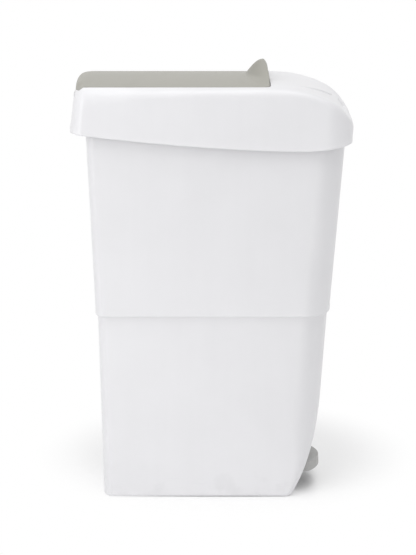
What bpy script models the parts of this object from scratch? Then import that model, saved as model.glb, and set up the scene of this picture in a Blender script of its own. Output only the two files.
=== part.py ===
"""Sanitary container: a slim white pedal bin with a hood and a grey tipping flap.

Metres, +Z up. The front (pedal and nose) looks along +X, the width runs along Y, and the origin lies on
the floor under the middle of the outside box.
"""
import math

import bmesh
import bpy
from mathutils import Matrix, Vector

# Clearances shared by all pieces
SEAT = 0.0003            # gap left where one piece rests on another
OVERRUN = 0.012          # how far a cutter runs past what it cuts
SHORT_OVERRUN = 0.003    # the same where a cutter must not reach the next wall
MERGE = 0.00001          # distance under which two points are one
MID = 0.0                # plane of symmetry

# Bucket: its rim gives the other plan sizes, half lengths and half widths measured from the origin
RIM_Z = 0.455
RIM_REAR = 0.1514
RIM_FRONT = 0.1646
RIM_HALF = 0.0830
STEP_REAR_IN = 0.0105    # how far the step lies inside the rim at the rear, front and sides
STEP_REAR = RIM_REAR - STEP_REAR_IN
STEP_FRONT_IN = 0.0191
STEP_FRONT = RIM_FRONT - STEP_FRONT_IN
STEP_HALF_IN = 0.0045
STEP_HALF = RIM_HALF - STEP_HALF_IN
BASE_REAR_IN = 0.0190    # the same for the base
BASE_REAR = RIM_REAR - BASE_REAR_IN
BASE_FRONT_IN = 0.0381
BASE_FRONT = RIM_FRONT - BASE_FRONT_IN
BASE_HALF_IN = 0.0100
BASE_HALF = RIM_HALF - BASE_HALF_IN
FOOT_GAP = 0.0010        # bucket's lower edge above the floor
STEP_Z = 0.2255          # height of the nesting step
STEP_LEDGE = 0.0028      # thickness of the ledge at the step
STEP_OUT = 0.0025        # how far the upper part stands proud of the lower
STEP_LIP = 0.0022        # height of the chamfer under the upper part
STEP_EDGE = 0.0006       # how far the upper part's lowest edge stays behind its face
BUCKET_WALL = 0.0025
FLOOR_Z = 0.0420         # underside of the bucket's floor
FLOOR_THICK = 0.0025
FRONT_SETBACK = 0.0275   # how far the lower front is swept back at the floor
SETBACK_Z = 0.120        # height at which the sweep starts
SETBACK_POWER = 2.4
# levels of the swept front, in shares of its height
SWEEP_SHARES = (0.07, 0.16, 0.27, 0.40, 0.56, 0.76, 1.0)
BUCKET_REAR_CORNER = (0.010, 0.020)
BUCKET_FRONT_CORNER = (0.034, 0.048)
BASE_FRONT_CORNER = (0.007, 0.010)
CORNER_FADE_Z = 0.100    # height at which the front corner has reached its full size
BUCKET_REAR_BOW = 0.0015
BUCKET_FRONT_BOW = 0.0015

# Pedal slot in the bucket's front and the foot lever under the floor
PEDAL_OUT = 0.0075    # how far the pad stands out of the base
PEDAL_FRONT = BASE_FRONT + PEDAL_OUT
PEDAL_LENGTH = 0.0320
PEDAL_REAR = PEDAL_FRONT - PEDAL_LENGTH
PEDAL_HALF = 0.0400
PEDAL_Z = 0.0240
PEDAL_THICK = 0.0110
PEDAL_BOW = 0.0100       # how far the pad's front bows out
PEDAL_EDGE = 0.0022
PEDAL_TRAVEL = 9.15      # degrees
SLOT_SIDE_PLAY = 0.0035
SLOT_HALF = PEDAL_HALF + SLOT_SIDE_PLAY
SLOT_HEIGHT = 0.0145    # slot's top above the pad's underside
SLOT_TOP = PEDAL_Z + SLOT_HEIGHT
SLOT_CORNER = 0.008
SLOT_DEPTH = 0.0420    # slot behind the pad
SLOT_REAR = PEDAL_REAR - SLOT_DEPTH
PIVOT_X = 0.008
PIVOT_Z = 0.017
AXLE_R = 0.0030
EAR_IN = 0.0150          # inner face of each ear from the mid-plane
EAR_THICK = 0.0050
EAR_R = 0.0065
EAR_FOOT = 0.0130        # half the ear's length where it leaves the plate
AXLE_PROUD = 0.0035    # axle beyond the ears
AXLE_HALF = EAR_IN + EAR_THICK + AXLE_PROUD
CLIP_R = 0.0058
CLIP_THICK = 0.0014
LEVER_HALF = 0.0120
LEVER_THICK = 0.0040
LEVER_BOSS_R = 0.0062
LEVER_REAR_Z = 0.0088    # underside of the lever at the rod
LEVER_SETBACK = 0.0120    # lever's end behind the pad's front
LEVER_FRONT_X = PEDAL_FRONT - LEVER_SETBACK
LEVER_TAIL = 0.0060      # lever beyond the rod's axis

# Base plate, its screws and the feet
PLATE_Z = 0.0020
PLATE_THICK = 0.0025
FOOT_R = 0.0090
FOOT_REAR_IN = 0.0204    # feet inside the base
FOOT_REAR_X = FOOT_REAR_IN - BASE_REAR
FOOT_FRONT_IN = 0.0565
FOOT_FRONT_X = BASE_FRONT - FOOT_FRONT_IN
FOOT_SIDE_IN = 0.0270
FOOT_Y = BASE_HALF - FOOT_SIDE_IN
POST_R = 0.0050
POST_REAR_IN = 0.0444    # screw posts inside the base
POST_REAR_X = POST_REAR_IN - BASE_REAR
POST_FRONT_IN = 0.0765
POST_FRONT_X = BASE_FRONT - POST_FRONT_IN
POST_SIDE_IN = 0.0210
POST_Y = BASE_HALF - POST_SIDE_IN
SCREW_R = 0.0015
SCREW_HEAD_R = 0.0030
SCREW_HEAD = 0.0010
SCREW_LENGTH = 0.0120
SCREW_PLAY = 0.0004

# Hood: it hangs over the bucket's rim, and its crown gives the heights of what it carries
HOOD_RISE = 0.0555    # crown above the rim
HOOD_CROWN_Z = RIM_Z + HOOD_RISE
HOOD_REAR_OUT = 0.0198    # how far the hood stands out past the rim
HOOD_REAR_LOW = RIM_REAR + HOOD_REAR_OUT
HOOD_REAR_DRAFT = 0.0045
HOOD_REAR_TOP = HOOD_REAR_LOW - HOOD_REAR_DRAFT
HOOD_FRONT_OUT = 0.0066
HOOD_FRONT_LOW = RIM_FRONT + HOOD_FRONT_OUT
HOOD_FRONT_FLARE = 0.0013
HOOD_FRONT_TOP = HOOD_FRONT_LOW + HOOD_FRONT_FLARE
HOOD_SIDE_OUT = 0.0070
HOOD_HALF_LOW = RIM_HALF + HOOD_SIDE_OUT
HOOD_SIDE_DRAFT = 0.0038
HOOD_HALF_TOP = HOOD_HALF_LOW - HOOD_SIDE_DRAFT
HOOD_WALL = 0.0024
HOOD_SKIRT = 0.0270    # lower edge along the front, below the rim
HOOD_EDGE_Z = RIM_Z - HOOD_SKIRT
HOOD_EDGE_RISE = 0.0220  # how much higher the lower edge is at the rear
HOOD_NOSE_RISE = 0.0025  # the same at the nose
HOOD_EDGE_BACK = 0.0592    # where the lower edge starts to rise, behind the nose
HOOD_EDGE_X = HOOD_FRONT_LOW - HOOD_EDGE_BACK
HOOD_EDGE_POWER = 1.7
HOOD_REAR_CORNER = (0.022, 0.040)
HOOD_FRONT_CORNER = (0.036, 0.064)
HOOD_REAR_BOW = 0.0020
HOOD_FRONT_BOW = 0.0012
SHOULDER_REAR_DROP = 0.0385    # shoulder below the crown
SHOULDER_REAR_Z = HOOD_CROWN_Z - SHOULDER_REAR_DROP
SHOULDER_SIDE_DROP = 0.0245
SHOULDER_SIDE_Z = HOOD_CROWN_Z - SHOULDER_SIDE_DROP
SHOULDER_FRONT_DROP = 0.0625
SHOULDER_FRONT_Z = HOOD_CROWN_Z - SHOULDER_FRONT_DROP
SHOULDER_X = -0.010      # behind this the shoulder falls towards the rear
REAR_POWER = 4.7         # how square the shoulder is at the rear, the side and the nose
SIDE_POWER = 3.5
NOSE_POWER = 2.0
MOUTH_FRONT = 0.0720     # front edge of the opening
MOUTH_SIDE_IN = 0.0102    # opening inside the hood
MOUTH_HALF = HOOD_HALF_TOP - MOUTH_SIDE_IN
MOUTH_REAR_DROP = 0.0212    # top of the rear wall under the flap's curl
MOUTH_REAR_Z = HOOD_CROWN_Z - MOUTH_REAR_DROP
MOUTH_CORNER = 0.0055
SPINE_REAR_IN = 0.0417   # ends of the straight part of the crown, from the hood's rear and the mouth
SPINE_REAR = SPINE_REAR_IN - HOOD_REAR_TOP
SPINE_FRONT_BACK = 0.0060
SPINE_FRONT = MOUTH_FRONT - SPINE_FRONT_BACK
REST_X = (-0.092, 0.118)        # blocks inside the hood that rest on the liner ring
REST_LENGTH = 0.014
REST_COVER = 0.0040    # how far the blocks reach over the rim
REST_IN = RIM_HALF - REST_COVER
REST_ROOT = 0.0006    # how far they run into the hood's side
REST_OUT = HOOD_HALF_TOP + REST_ROOT
REST_HEIGHT = 0.0120
WELL_REACH = (0.0150, 0.0240)   # finger well in front of the tab, along and across
WELL_DEPTH = 0.0040
SKIN_BEYOND = 0.0024     # how far a recess cutter stands outside the hood
PANEL_REAR_GAP = 0.0180
PANEL_FRONT_GAP = 0.0167
PANEL_X = (MOUTH_FRONT + PANEL_REAR_GAP, HOOD_FRONT_LOW - PANEL_FRONT_GAP)
PANEL_HALF = 0.0500
PANEL_DEPTH = 0.0012
PANEL_CORNER = 0.0060
GRIP_DROP = 0.0305
GRIP_HEIGHT = 0.0100
GRIP_Z = (HOOD_CROWN_Z - GRIP_DROP - GRIP_HEIGHT, HOOD_CROWN_Z - GRIP_DROP)
GRIP_HALF = 0.0360
GRIP_DEPTH = 0.0022
GRIP_REACH = 0.0412
GRIP_REAR = HOOD_FRONT_LOW - GRIP_REACH

# Flap hinge: the flap's top lies just under the hood's crown
CURL_R = 0.0170
HINGE_IN = 0.0205
HINGE_X = HINGE_IN - HOOD_REAR_TOP
FLAP_SUNK = 0.0005       # flap's top below the hood's crown
HINGE_Z = HOOD_CROWN_Z - CURL_R - FLAP_SUNK
PIN_R = 0.0020
PIN_END_PLAY = 0.0005
PIN_HALF = MOUTH_HALF - PIN_END_PLAY
PIN_PLAY = 0.0003
FLAP_OPEN = 52.0         # degrees
CRANK_R = 0.0240         # crank's throw
CRANK_END_R = 0.0040
CRANK_BOSS_R = 0.0065
CRANK_HALF = 0.0070
CRANK_NECK_SHARES = (1.1, 0.9)  # where the arm's lower edge meets the round end, in end radii
CRANK_FOOT = (0.0070, 0.0290)   # foot's ends ahead of the hinge axis
LUG_R = 0.0051
LUG_INSIDE = 0.0065    # lug inside and outside the line of the mouth
LUG_IN = MOUTH_HALF - LUG_INSIDE
LUG_OUTSIDE = 0.0030
LUG_OUT = MOUTH_HALF + LUG_OUTSIDE
WEB_START = 0.0005
WEB_ROOT = 0.0030
LUG_WEB = (MOUTH_HALF + WEB_START, HOOD_HALF_TOP - WEB_ROOT)
LUG_WEB_HALF = 0.0045
LUG_DROP = 0.0160
BUSH_R = 0.0033
BUSH_LENGTH = 0.0062
BUSH_LIP_R = 0.0046
BUSH_LIP = 0.0008

# Flap with its finger tab: it fills the hood's mouth
FLAP_SIDE_PLAY = 0.0010
FLAP_HALF = MOUTH_HALF - FLAP_SIDE_PLAY
FLAP_DROP = 0.0060       # crown across the half width
FLAP_WALL = 0.0025
CURL_PLAY = 0.0006       # gap from the curl's widest point to the hood's rear wall
CURL_END_ANGLE = 200.0   # degrees round the hinge axis, where the curl ends
FLAP_FRONT_PLAY = 0.0023
FLAP_FRONT = MOUTH_FRONT - FLAP_FRONT_PLAY
FLAP_CORNER = 0.0045
FLAP_LIP = 0.0050         # how far the front edge hangs under the flap's face
TAB_LENGTH = 0.0267
TAB_ROOT = FLAP_FRONT - TAB_LENGTH
TAB_PEAK_BACK = 0.0069    # how far the peak leans back
TAB_PEAK_X = FLAP_FRONT - TAB_PEAK_BACK
TAB_RISE = 0.0185
TAB_BELL = 0.0365        # reach of the rise across the flap
TAB_LEAN = 0.0240        # reach of the rim's lean back across the flap
TAB_SIDE_LENGTH = 0.0047    # length of the rise at the flap's sides
TAB_ROOT_SIDE = FLAP_FRONT - TAB_SIDE_LENGTH
FACE_POWER = 1.5         # how late the tab's front face turns down
RIB_FROM_LUG = 0.0115
RIB_IN = LUG_IN - RIB_FROM_LUG
RIB_THICK = 0.0045
RIB_LENGTH = 0.0822
RIB_FRONT = HINGE_X + RIB_LENGTH
RIB_FRONT_HEIGHT = 0.0100       # height of the rib at its front end
RIB_SINK = 0.0008        # how far a rib is sunk into the flap's wall
KNUCKLE_R = 0.0065

# Modesty tray under the flap
TRAY_ANGLE = -62.0       # degrees, as it hangs with the flap closed
TRAY_ROOT = 0.0640
TRAY_TIP = 0.2050
TRAY_WALL = 0.0025
ARM_THICK = 0.0025
ARM_LENGTH = 0.0762
ARM_FRONT = HINGE_X + ARM_LENGTH
ARM_TOP = 0.0070         # arm's top edge above the hinge axis
ARM_KNEE_R = 0.1063      # distance and direction from the hinge of the arm's bend
ARM_KNEE_ANGLE = -46.0
TRAY_LIP = 0.0120
TRAY_SCREW_REACH = (0.0412, 0.0662)
TRAY_SCREW_X = [HINGE_X + reach for reach in TRAY_SCREW_REACH]
TRAY_SCREW_RISE = 0.0020
TRAY_SCREW_Z = HINGE_Z + TRAY_SCREW_RISE
TRAY_SCREW_LENGTH = 0.0060

# Seat frame under the mouth of the hood
RAIL_SIDE_IN = 0.0070
RAIL_IN = MOUTH_HALF - RAIL_SIDE_IN
RAIL_THICK = 0.0040
RAIL_DROP = 0.0120
RAIL_TOP = HOOD_CROWN_Z - RAIL_DROP
RAIL_HEIGHT = 0.0145
RAIL_LOW = RAIL_TOP - RAIL_HEIGHT
RAIL_REACH = 0.0162
RAIL_REAR = HINGE_X + RAIL_REACH
BAR_BACK = 0.0080
BAR_PROUD = 0.0060
BAR_X = (MOUTH_FRONT - BAR_BACK, MOUTH_FRONT + BAR_PROUD)
EAR_REACH = 0.0055
EAR_OUT = MOUTH_HALF + EAR_REACH
FRAME_EAR_THICK = 0.0025
FRAME_EAR_HALF = 0.0060
FRAME_BOSS_R = 0.0035
BOSS_SIDE_OUT = 0.0015
FRAME_BOSS_Y = MOUTH_HALF + BOSS_SIDE_OUT
BOSS_TOP_DROP = 0.0090
FRAME_BOSS_TOP = HOOD_CROWN_Z - BOSS_TOP_DROP
FRAME_BOSS_X = (-0.100, 0.040)
FRAME_SCREW_LENGTH = 0.0080
BUMPER_R = 0.0022
BUMPER_BACK = 0.0137
BUMPER_X = FLAP_FRONT - BUMPER_BACK
BUMPER_Y = RAIL_IN + RAIL_THICK / 2

# Sachet holder behind the nose
HOLDER_LENGTH = 0.0440
HOLDER_HALF = 0.0340
HOLDER_DROP = 0.0445
HOLDER_LOW = HOOD_CROWN_Z - HOLDER_DROP
HOLDER_HEIGHT = 0.0220
HOLDER_TOP = HOLDER_LOW + HOLDER_HEIGHT
HOLDER_WALL = 0.0018
HOLDER_SLOTS = 5
HOLDER_SLOT = 0.0040
HOLDER_MARGIN = 0.0072   # slot ends from the box's outside

# Liner ring on the bucket's rim
RING_THICK = 0.0020
RING_SKIRT = 0.0150
RING_PLAY = 0.0008
RING_WALL = 0.0018

# Push rod, its guides, spring and cover
ROD_X = HINGE_X + CRANK_R * (1 + math.cos(math.radians(FLAP_OPEN / 2))) / 2
ROD_R = 0.0025
ROD_FOOT_R = 0.0045
ROD_FOOT = 0.0065
FOOT_PLAY = 0.0009       # lost motion between the lever's tail and the rod's foot
CAP_R = 0.0050
CAP_HEIGHT = 0.0080
CAP_FACE = 0.0027        # height of the cap's full width
CAP_NECK_R = 0.0035
GUIDE_R = 0.0040
GUIDE_LIP_R = 0.0070
GUIDE_LIP = 0.0015
HOLE_R = 0.0044
UPPER_GUIDE_Z = 0.3300
UPPER_GUIDE_HALF = 0.0065
UPPER_GUIDE_THICK = 0.0060
COLLAR_DROP = 0.0650
COLLAR_Z = UPPER_GUIDE_Z - COLLAR_DROP
COLLAR_R = 0.0060
COLLAR_THICK = 0.0040
SPRING_R = 0.0046
SPRING_WIRE_R = 0.0005
SPRING_TURNS = 9
SPRING_STEPS = 10        # points to a turn
COVER_HALF = 0.0110
COVER_ROD_GAP = 0.0095
COVER_FRONT = ROD_X + COVER_ROD_GAP
COVER_WALL = 0.0015
COVER_TOP_GAP = 0.0400
COVER_TOP = RIM_Z - COVER_TOP_GAP
COVER_REST = 0.0010      # gap from the cover's edges to the rear wall

# Surface steps
CORNER_STEPS = 7
BOW_STEPS = 3
FOOT_ROUNDS = 5
PAD_STEPS = 12
SIDE_STEPS = 7
ROUND_STEPS = 28
ARC_STEPS = 10           # rounded ends of flat plates
PIN_STEPS = 20           # pins, bushes and their bores
ROD_STEPS = 16           # rods, posts and bosses
HOLE_STEPS = 10          # screws and their holes
FLAP_COLUMNS = 24
TAB_STEPS = 6
FACE_STEPS = 3
CURL_STEPS = 9
FLAT_STEPS = 4
DOME_ANGLES = (0, 8, 18, 30, 43, 57, 70, 81, 90)    # degrees from the shoulder up to the crown

# Colours
WHITE = (0.80, 0.80, 0.81)
WARM_GREY = (0.47, 0.46, 0.42)
PEDAL_GREY = (0.43, 0.43, 0.42)
INNER_WHITE = (0.74, 0.74, 0.74)
ACETAL = (0.70, 0.69, 0.64)
BLACK_RUBBER = (0.03, 0.03, 0.03)
STEEL = (0.56, 0.56, 0.57)


def clear_scene():
    """Empty the scene without closing the file that holds this script."""
    for item in list(bpy.data.objects):
        bpy.data.objects.remove(item, do_unlink=True)


def make_collection(name):
    collection = bpy.data.collections.new(name)
    bpy.context.scene.collection.children.link(collection)
    return collection


def make_material(name, colour, roughness, metallic=0.0):
    material = bpy.data.materials.new(name)
    material.use_nodes = True
    shader = material.node_tree.nodes["Principled BSDF"]
    shader.inputs["Base Color"].default_value = (*colour, 1.0)
    shader.inputs["Roughness"].default_value = roughness
    shader.inputs["Metallic"].default_value = metallic
    return material


def put_in(item, collection):
    for old in list(item.users_collection):
        old.objects.unlink(item)
    collection.objects.link(item)


def as_cutter(item):
    """Keep a cutting or joining shape out of the model."""
    put_in(item, cutters)
    item.hide_render = True
    item.display_type = "WIRE"


def finish(item, material, smooth_degrees=35.0):
    put_in(item, container)
    item.data.materials.clear()
    item.data.materials.append(material)
    item.data.shade_smooth()
    item.data.set_sharp_from_angle(angle=math.radians(smooth_degrees))
    return item


def mesh_object(name, mesh_data):
    mesh = bpy.data.meshes.new(name)
    bmesh.ops.remove_doubles(mesh_data, verts=mesh_data.verts, dist=MERGE)
    bmesh.ops.recalc_face_normals(mesh_data, faces=mesh_data.faces)
    mesh_data.to_mesh(mesh)
    mesh_data.free()
    item = bpy.data.objects.new(name, mesh)
    container.objects.link(item)
    return item


def lofted(name, rings, chain_closed=False):
    """A closed body whose skin joins each ring of points to the next one."""
    data = bmesh.new()
    loops = []
    for ring in rings:
        loops.append([data.verts.new(point) for point in ring])
    count = len(loops[0])
    pairs = list(zip(loops, loops[1:]))
    if chain_closed:
        pairs.append((loops[-1], loops[0]))
    for lower, upper in pairs:
        for i in range(count):
            j = (i + 1) % count
            data.faces.new((lower[i], lower[j], upper[j], upper[i]))
    if not chain_closed:
        data.faces.new(loops[0])
        data.faces.new(loops[-1])
    return mesh_object(name, data)


def bar(name, low, high):
    """A box between two corners."""
    data = bmesh.new()
    bmesh.ops.create_cube(data, size=1.0)
    low = Vector(low)
    high = Vector(high)
    size = high - low
    data.transform(Matrix.Translation((low + high) / 2) @ Matrix.Diagonal((*size, 1.0)))
    return mesh_object(name, data)


def rod_along(name, radius, start, end, steps=ROUND_STEPS):
    """A round bar between two points."""
    start = Vector(start)
    end = Vector(end)
    data = bmesh.new()
    length = (end - start).length
    bmesh.ops.create_cone(data, cap_ends=True, segments=steps, radius1=radius, radius2=radius, depth=length)
    turn = (end - start).to_track_quat("Z", "Y").to_matrix().to_4x4()
    data.transform(Matrix.Translation((start + end) / 2) @ turn)
    return mesh_object(name, data)


def turned(name, profile, place):
    """A turned shape: (radius, height) points, top to bottom on the outside, spun about a vertical axis."""
    mesh = bpy.data.meshes.new(name)
    points = [(radius, 0.0, height) for radius, height in profile]
    edges = [(i, i + 1) for i in range(len(points) - 1)]
    mesh.from_pydata(points, edges, [])
    item = bpy.data.objects.new(name, mesh)
    container.objects.link(item)
    screw = item.modifiers.new("Turn", "SCREW")
    screw.steps = ROUND_STEPS
    screw.render_steps = ROUND_STEPS
    screw.use_merge_vertices = True
    screw.merge_threshold = MERGE
    item.location = place
    return item


def plate(name, outline, thickness, middle_y):
    """A flat plate standing in the XZ plane, made from its outline."""
    curve = bpy.data.curves.new(name, "CURVE")
    curve.dimensions = "2D"
    curve.fill_mode = "BOTH"
    curve.extrude = thickness / 2
    curve.resolution_u = 1
    curve.render_resolution_u = 0
    spline = curve.splines.new("POLY")
    spline.points.add(len(outline) - 1)
    for point, (x, z) in zip(spline.points, outline):
        point.co = (x, z, 0.0, 1.0)
    spline.use_cyclic_u = True
    flat = bpy.data.objects.new(name, curve)
    container.objects.link(flat)
    flat.rotation_euler = (math.pi / 2, 0.0, 0.0)
    flat.location = (0.0, middle_y, 0.0)
    bpy.context.view_layer.update()
    graph = bpy.context.evaluated_depsgraph_get()
    mesh = bpy.data.meshes.new_from_object(flat.evaluated_get(graph))
    data = bmesh.new()
    data.from_mesh(mesh)
    data.transform(flat.matrix_world)
    bpy.data.objects.remove(flat, do_unlink=True)
    bpy.data.meshes.remove(mesh)
    return mesh_object(name, data)


def combine(item, other, operation):
    """Join or cut with a helper shape."""
    as_cutter(other)
    change = item.modifiers.new(other.name, "BOOLEAN")
    change.operation = operation
    change.solver = "EXACT"
    change.object = other
    return item


def join(item, other):
    return combine(item, other, "UNION")


def cut(item, other):
    return combine(item, other, "DIFFERENCE")


def bevel(item, width, segments, degrees=30.0):
    rounding = item.modifiers.new("Rounded edges", "BEVEL")
    rounding.width = width
    rounding.segments = segments
    rounding.limit_method = "ANGLE"
    rounding.angle_limit = math.radians(degrees)
    return item


def settle(item):
    """Turn an object's modifiers into its mesh, with its place in the mesh."""
    bpy.context.view_layer.update()
    graph = bpy.context.evaluated_depsgraph_get()
    mesh = bpy.data.meshes.new_from_object(item.evaluated_get(graph))
    mesh.transform(item.matrix_world)
    item.modifiers.clear()
    item.data = mesh
    item.matrix_world = Matrix.Identity(4)
    return item


def set_origin(item, point):
    """Move an object's origin to a point of its joint's axis without moving its shape."""
    item.data.transform(Matrix.Translation(-Vector(point)))
    item.location = point


def arc(x, z, radius, start, end, steps):
    """Points of an arc, with both ends, in degrees from +X towards +Z."""
    points = []
    for i in range(steps + 1):
        angle = math.radians(start + (end - start) * i / steps)
        points.append((x + radius * math.cos(angle), z + radius * math.sin(angle)))
    return points


def round_hinge(distance, degrees):
    """A point at a distance and direction from the hinge axis."""
    angle = math.radians(degrees)
    return (HINGE_X + distance * math.cos(angle), HINGE_Z + distance * math.sin(angle))


def half_outline(rear, front, half, rear_corner, front_corner, rear_bow, front_bow):
    """One side of a plan outline, from the middle of the rear to the middle of the front."""
    points = []
    flat = half - rear_corner[1]
    for i in range(BOW_STEPS):
        share = i / BOW_STEPS
        points.append((-rear + rear_bow * share ** 2, flat * share))
    for i in range(CORNER_STEPS + 1):
        turn = math.pi / 2 * i / CORNER_STEPS
        x = -rear + rear_bow + rear_corner[0] * (1 - math.cos(turn))
        points.append((x, flat + rear_corner[1] * math.sin(turn)))
    side_rear = points[-1][0]
    side_front = front - front_bow - front_corner[0]
    for i in range(1, SIDE_STEPS):
        points.append((side_rear + (side_front - side_rear) * i / SIDE_STEPS, half))
    flat = half - front_corner[1]
    for i in range(CORNER_STEPS + 1):
        turn = math.pi / 2 * i / CORNER_STEPS
        x = side_front + front_corner[0] * math.sin(turn)
        points.append((x, flat + front_corner[1] * math.cos(turn)))
    for i in range(1, BOW_STEPS + 1):
        share = 1 - i / BOW_STEPS
        points.append((front - front_bow * share ** 2, flat * share))
    return points


def whole_outline(points):
    """Both sides of an outline whose first and last points lie on the mid-plane."""
    mirrored = [(x, -y) for x, y in reversed(points[1:-1])]
    return points + mirrored


def blend(low, high, share):
    return low + (high - low) * share


def bucket_outline(z, upper, inset):
    """Plan outline of the bucket's skin at a height, drawn in by an inset."""
    if upper:
        share = (z - STEP_Z) / (RIM_Z - STEP_Z)
        rear = blend(STEP_REAR, RIM_REAR, share)
        front = blend(STEP_FRONT, RIM_FRONT, share)
        half = blend(STEP_HALF, RIM_HALF, share)
    else:
        share = z / STEP_Z
        rear = blend(BASE_REAR, STEP_REAR - STEP_OUT, share)
        front = blend(BASE_FRONT, STEP_FRONT - STEP_OUT, share)
        half = blend(BASE_HALF, STEP_HALF - STEP_OUT, share)
        sweep = max(0.0, 1 - z / SETBACK_Z)
        front -= FRONT_SETBACK * sweep ** SETBACK_POWER
    rise = min(1.0, z / CORNER_FADE_Z)
    full = rise * rise * (3 - 2 * rise)
    rear_corner = [size - inset / 2 for size in BUCKET_REAR_CORNER]
    front_corner = [blend(low, high, full) - inset / 2
                    for low, high in zip(BASE_FRONT_CORNER, BUCKET_FRONT_CORNER)]
    return half_outline(rear - inset, front - inset, half - inset, rear_corner, front_corner,
                        BUCKET_REAR_BOW, BUCKET_FRONT_BOW)


def bucket_ring(z, upper=False, inset=0.0):
    return [(x, y, z) for x, y in whole_outline(bucket_outline(z, upper, inset))]


def rear_wall_x(z):
    """Inner face of the bucket's rear wall at the mid-plane."""
    upper = z > STEP_Z + STEP_LEDGE
    return bucket_outline(z, upper, BUCKET_WALL)[0][0]


def make_bucket():
    """The bucket: one moulding with a floor above the pedal gear and an open underside."""
    sweep_levels = [SETBACK_Z * share for share in SWEEP_SHARES]
    inner_levels = [level for level in sweep_levels if FOOT_GAP < level < FLOOR_Z]
    rings = [bucket_ring(FLOOR_Z, inset=BUCKET_WALL)]
    for level in reversed(inner_levels):
        rings.append(bucket_ring(level, inset=BUCKET_WALL))
    rings.append(bucket_ring(FOOT_GAP, inset=BUCKET_WALL))
    rings.append(bucket_ring(FOOT_GAP))
    for level in sweep_levels:
        rings.append(bucket_ring(level))
    rings.append(bucket_ring(STEP_Z))
    rings.append(bucket_ring(STEP_Z, upper=True, inset=STEP_EDGE))
    rings.append(bucket_ring(STEP_Z + STEP_LIP, upper=True))
    rings.append(bucket_ring(RIM_Z, upper=True))
    rings.append(bucket_ring(RIM_Z, upper=True, inset=BUCKET_WALL))
    rings.append(bucket_ring(STEP_Z + STEP_LEDGE, upper=True, inset=BUCKET_WALL))
    rings.append(bucket_ring(STEP_Z + STEP_LEDGE, inset=BUCKET_WALL))
    for level in reversed(sweep_levels):
        if level > FLOOR_Z + FLOOR_THICK:
            rings.append(bucket_ring(level, inset=BUCKET_WALL))
    rings.append(bucket_ring(FLOOR_Z + FLOOR_THICK, inset=BUCKET_WALL))
    bucket = lofted("bin_body", rings)
    slot = bar("pedal slot", (SLOT_REAR, -SLOT_HALF, -OVERRUN),
               (PEDAL_FRONT + OVERRUN, SLOT_HALF, SLOT_TOP))
    bevel(slot, SLOT_CORNER, 4)
    settle(slot)
    cut(bucket, slot)
    for x in (POST_REAR_X, POST_FRONT_X):
        for side in (-1, 1):
            post = rod_along("post", POST_R, (x, side * POST_Y, PLATE_Z + PLATE_THICK + SEAT),
                             (x, side * POST_Y, FLOOR_Z + FLOOR_THICK / 2), ROD_STEPS)
            join(bucket, post)
            hole = rod_along("post hole", SCREW_R + SCREW_PLAY, (x, side * POST_Y, PLATE_Z),
                             (x, side * POST_Y, PLATE_Z + SCREW_LENGTH + SHORT_OVERRUN), HOLE_STEPS)
            cut(bucket, hole)
    rod_hole = rod_along("rod hole", HOLE_R, (ROD_X, MID, FLOOR_Z - SHORT_OVERRUN),
                         (ROD_X, MID, FLOOR_Z + FLOOR_THICK + SHORT_OVERRUN), ROD_STEPS)
    cut(bucket, rod_hole)
    settle(bucket)
    return finish(bucket, white)


def make_base_plate():
    """Closing plate under the bucket, with two ears that carry the pedal's axle."""
    inset = BUCKET_WALL + SEAT
    rings = [bucket_ring(PLATE_Z, inset=inset), bucket_ring(PLATE_Z + PLATE_THICK, inset=inset)]
    base = lofted("base_plate", rings)
    for side in (-1, 1):
        middle = side * (EAR_IN + EAR_THICK / 2)
        outline = arc(PIVOT_X, PIVOT_Z, EAR_R, 0, 180, ARC_STEPS)
        outline.append((PIVOT_X - EAR_FOOT, PLATE_Z + PLATE_THICK / 2))
        outline.append((PIVOT_X + EAR_FOOT, PLATE_Z + PLATE_THICK / 2))
        join(base, plate("axle ear", outline, EAR_THICK, middle))
    bore = rod_along("axle bore", AXLE_R + PIN_PLAY, (PIVOT_X, -AXLE_HALF - OVERRUN, PIVOT_Z),
                     (PIVOT_X, AXLE_HALF + OVERRUN, PIVOT_Z), PIN_STEPS)
    cut(base, bore)
    for x in (POST_REAR_X, POST_FRONT_X):
        for side in (-1, 1):
            hole = rod_along("screw hole", SCREW_R + SCREW_PLAY, (x, side * POST_Y, -OVERRUN),
                             (x, side * POST_Y, PLATE_Z + OVERRUN), HOLE_STEPS)
            cut(base, hole)
    settle(base)
    return finish(base, inner_white)


def make_screw(name, head_point, direction, length, head_r=SCREW_HEAD_R):
    """A small screw: its head's outer face at a point, its shank running along a direction."""
    start = Vector(head_point)
    way = Vector(direction)
    screw = rod_along(name, head_r, start, start + way * SCREW_HEAD, ROD_STEPS)
    end = start + way * (SCREW_HEAD + length)
    shank = rod_along("shank", SCREW_R, start + way * SCREW_HEAD / 2, end, HOLE_STEPS)
    join(screw, shank)
    settle(screw)
    return finish(screw, steel)


def make_base_screws():
    top = PLATE_Z - SEAT - SCREW_HEAD
    for end, x in zip(("rear", "front"), (POST_REAR_X, POST_FRONT_X)):
        for hand, side in (("left", 1), ("right", -1)):
            make_screw(f"base_screw_{end}_{hand}", (x, side * POST_Y, top), (0, 0, 1), SCREW_LENGTH)


def make_feet():
    places = {"foot_rear_left": (FOOT_REAR_X, FOOT_Y), "foot_rear_right": (FOOT_REAR_X, -FOOT_Y),
              "foot_front_left": (FOOT_FRONT_X, FOOT_Y), "foot_front_right": (FOOT_FRONT_X, -FOOT_Y)}
    for name, (x, y) in places.items():
        foot = rod_along(name, FOOT_R, (x, y, 0.0), (x, y, PLATE_Z - SEAT), PIN_STEPS)
        finish(foot, rubber)


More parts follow.
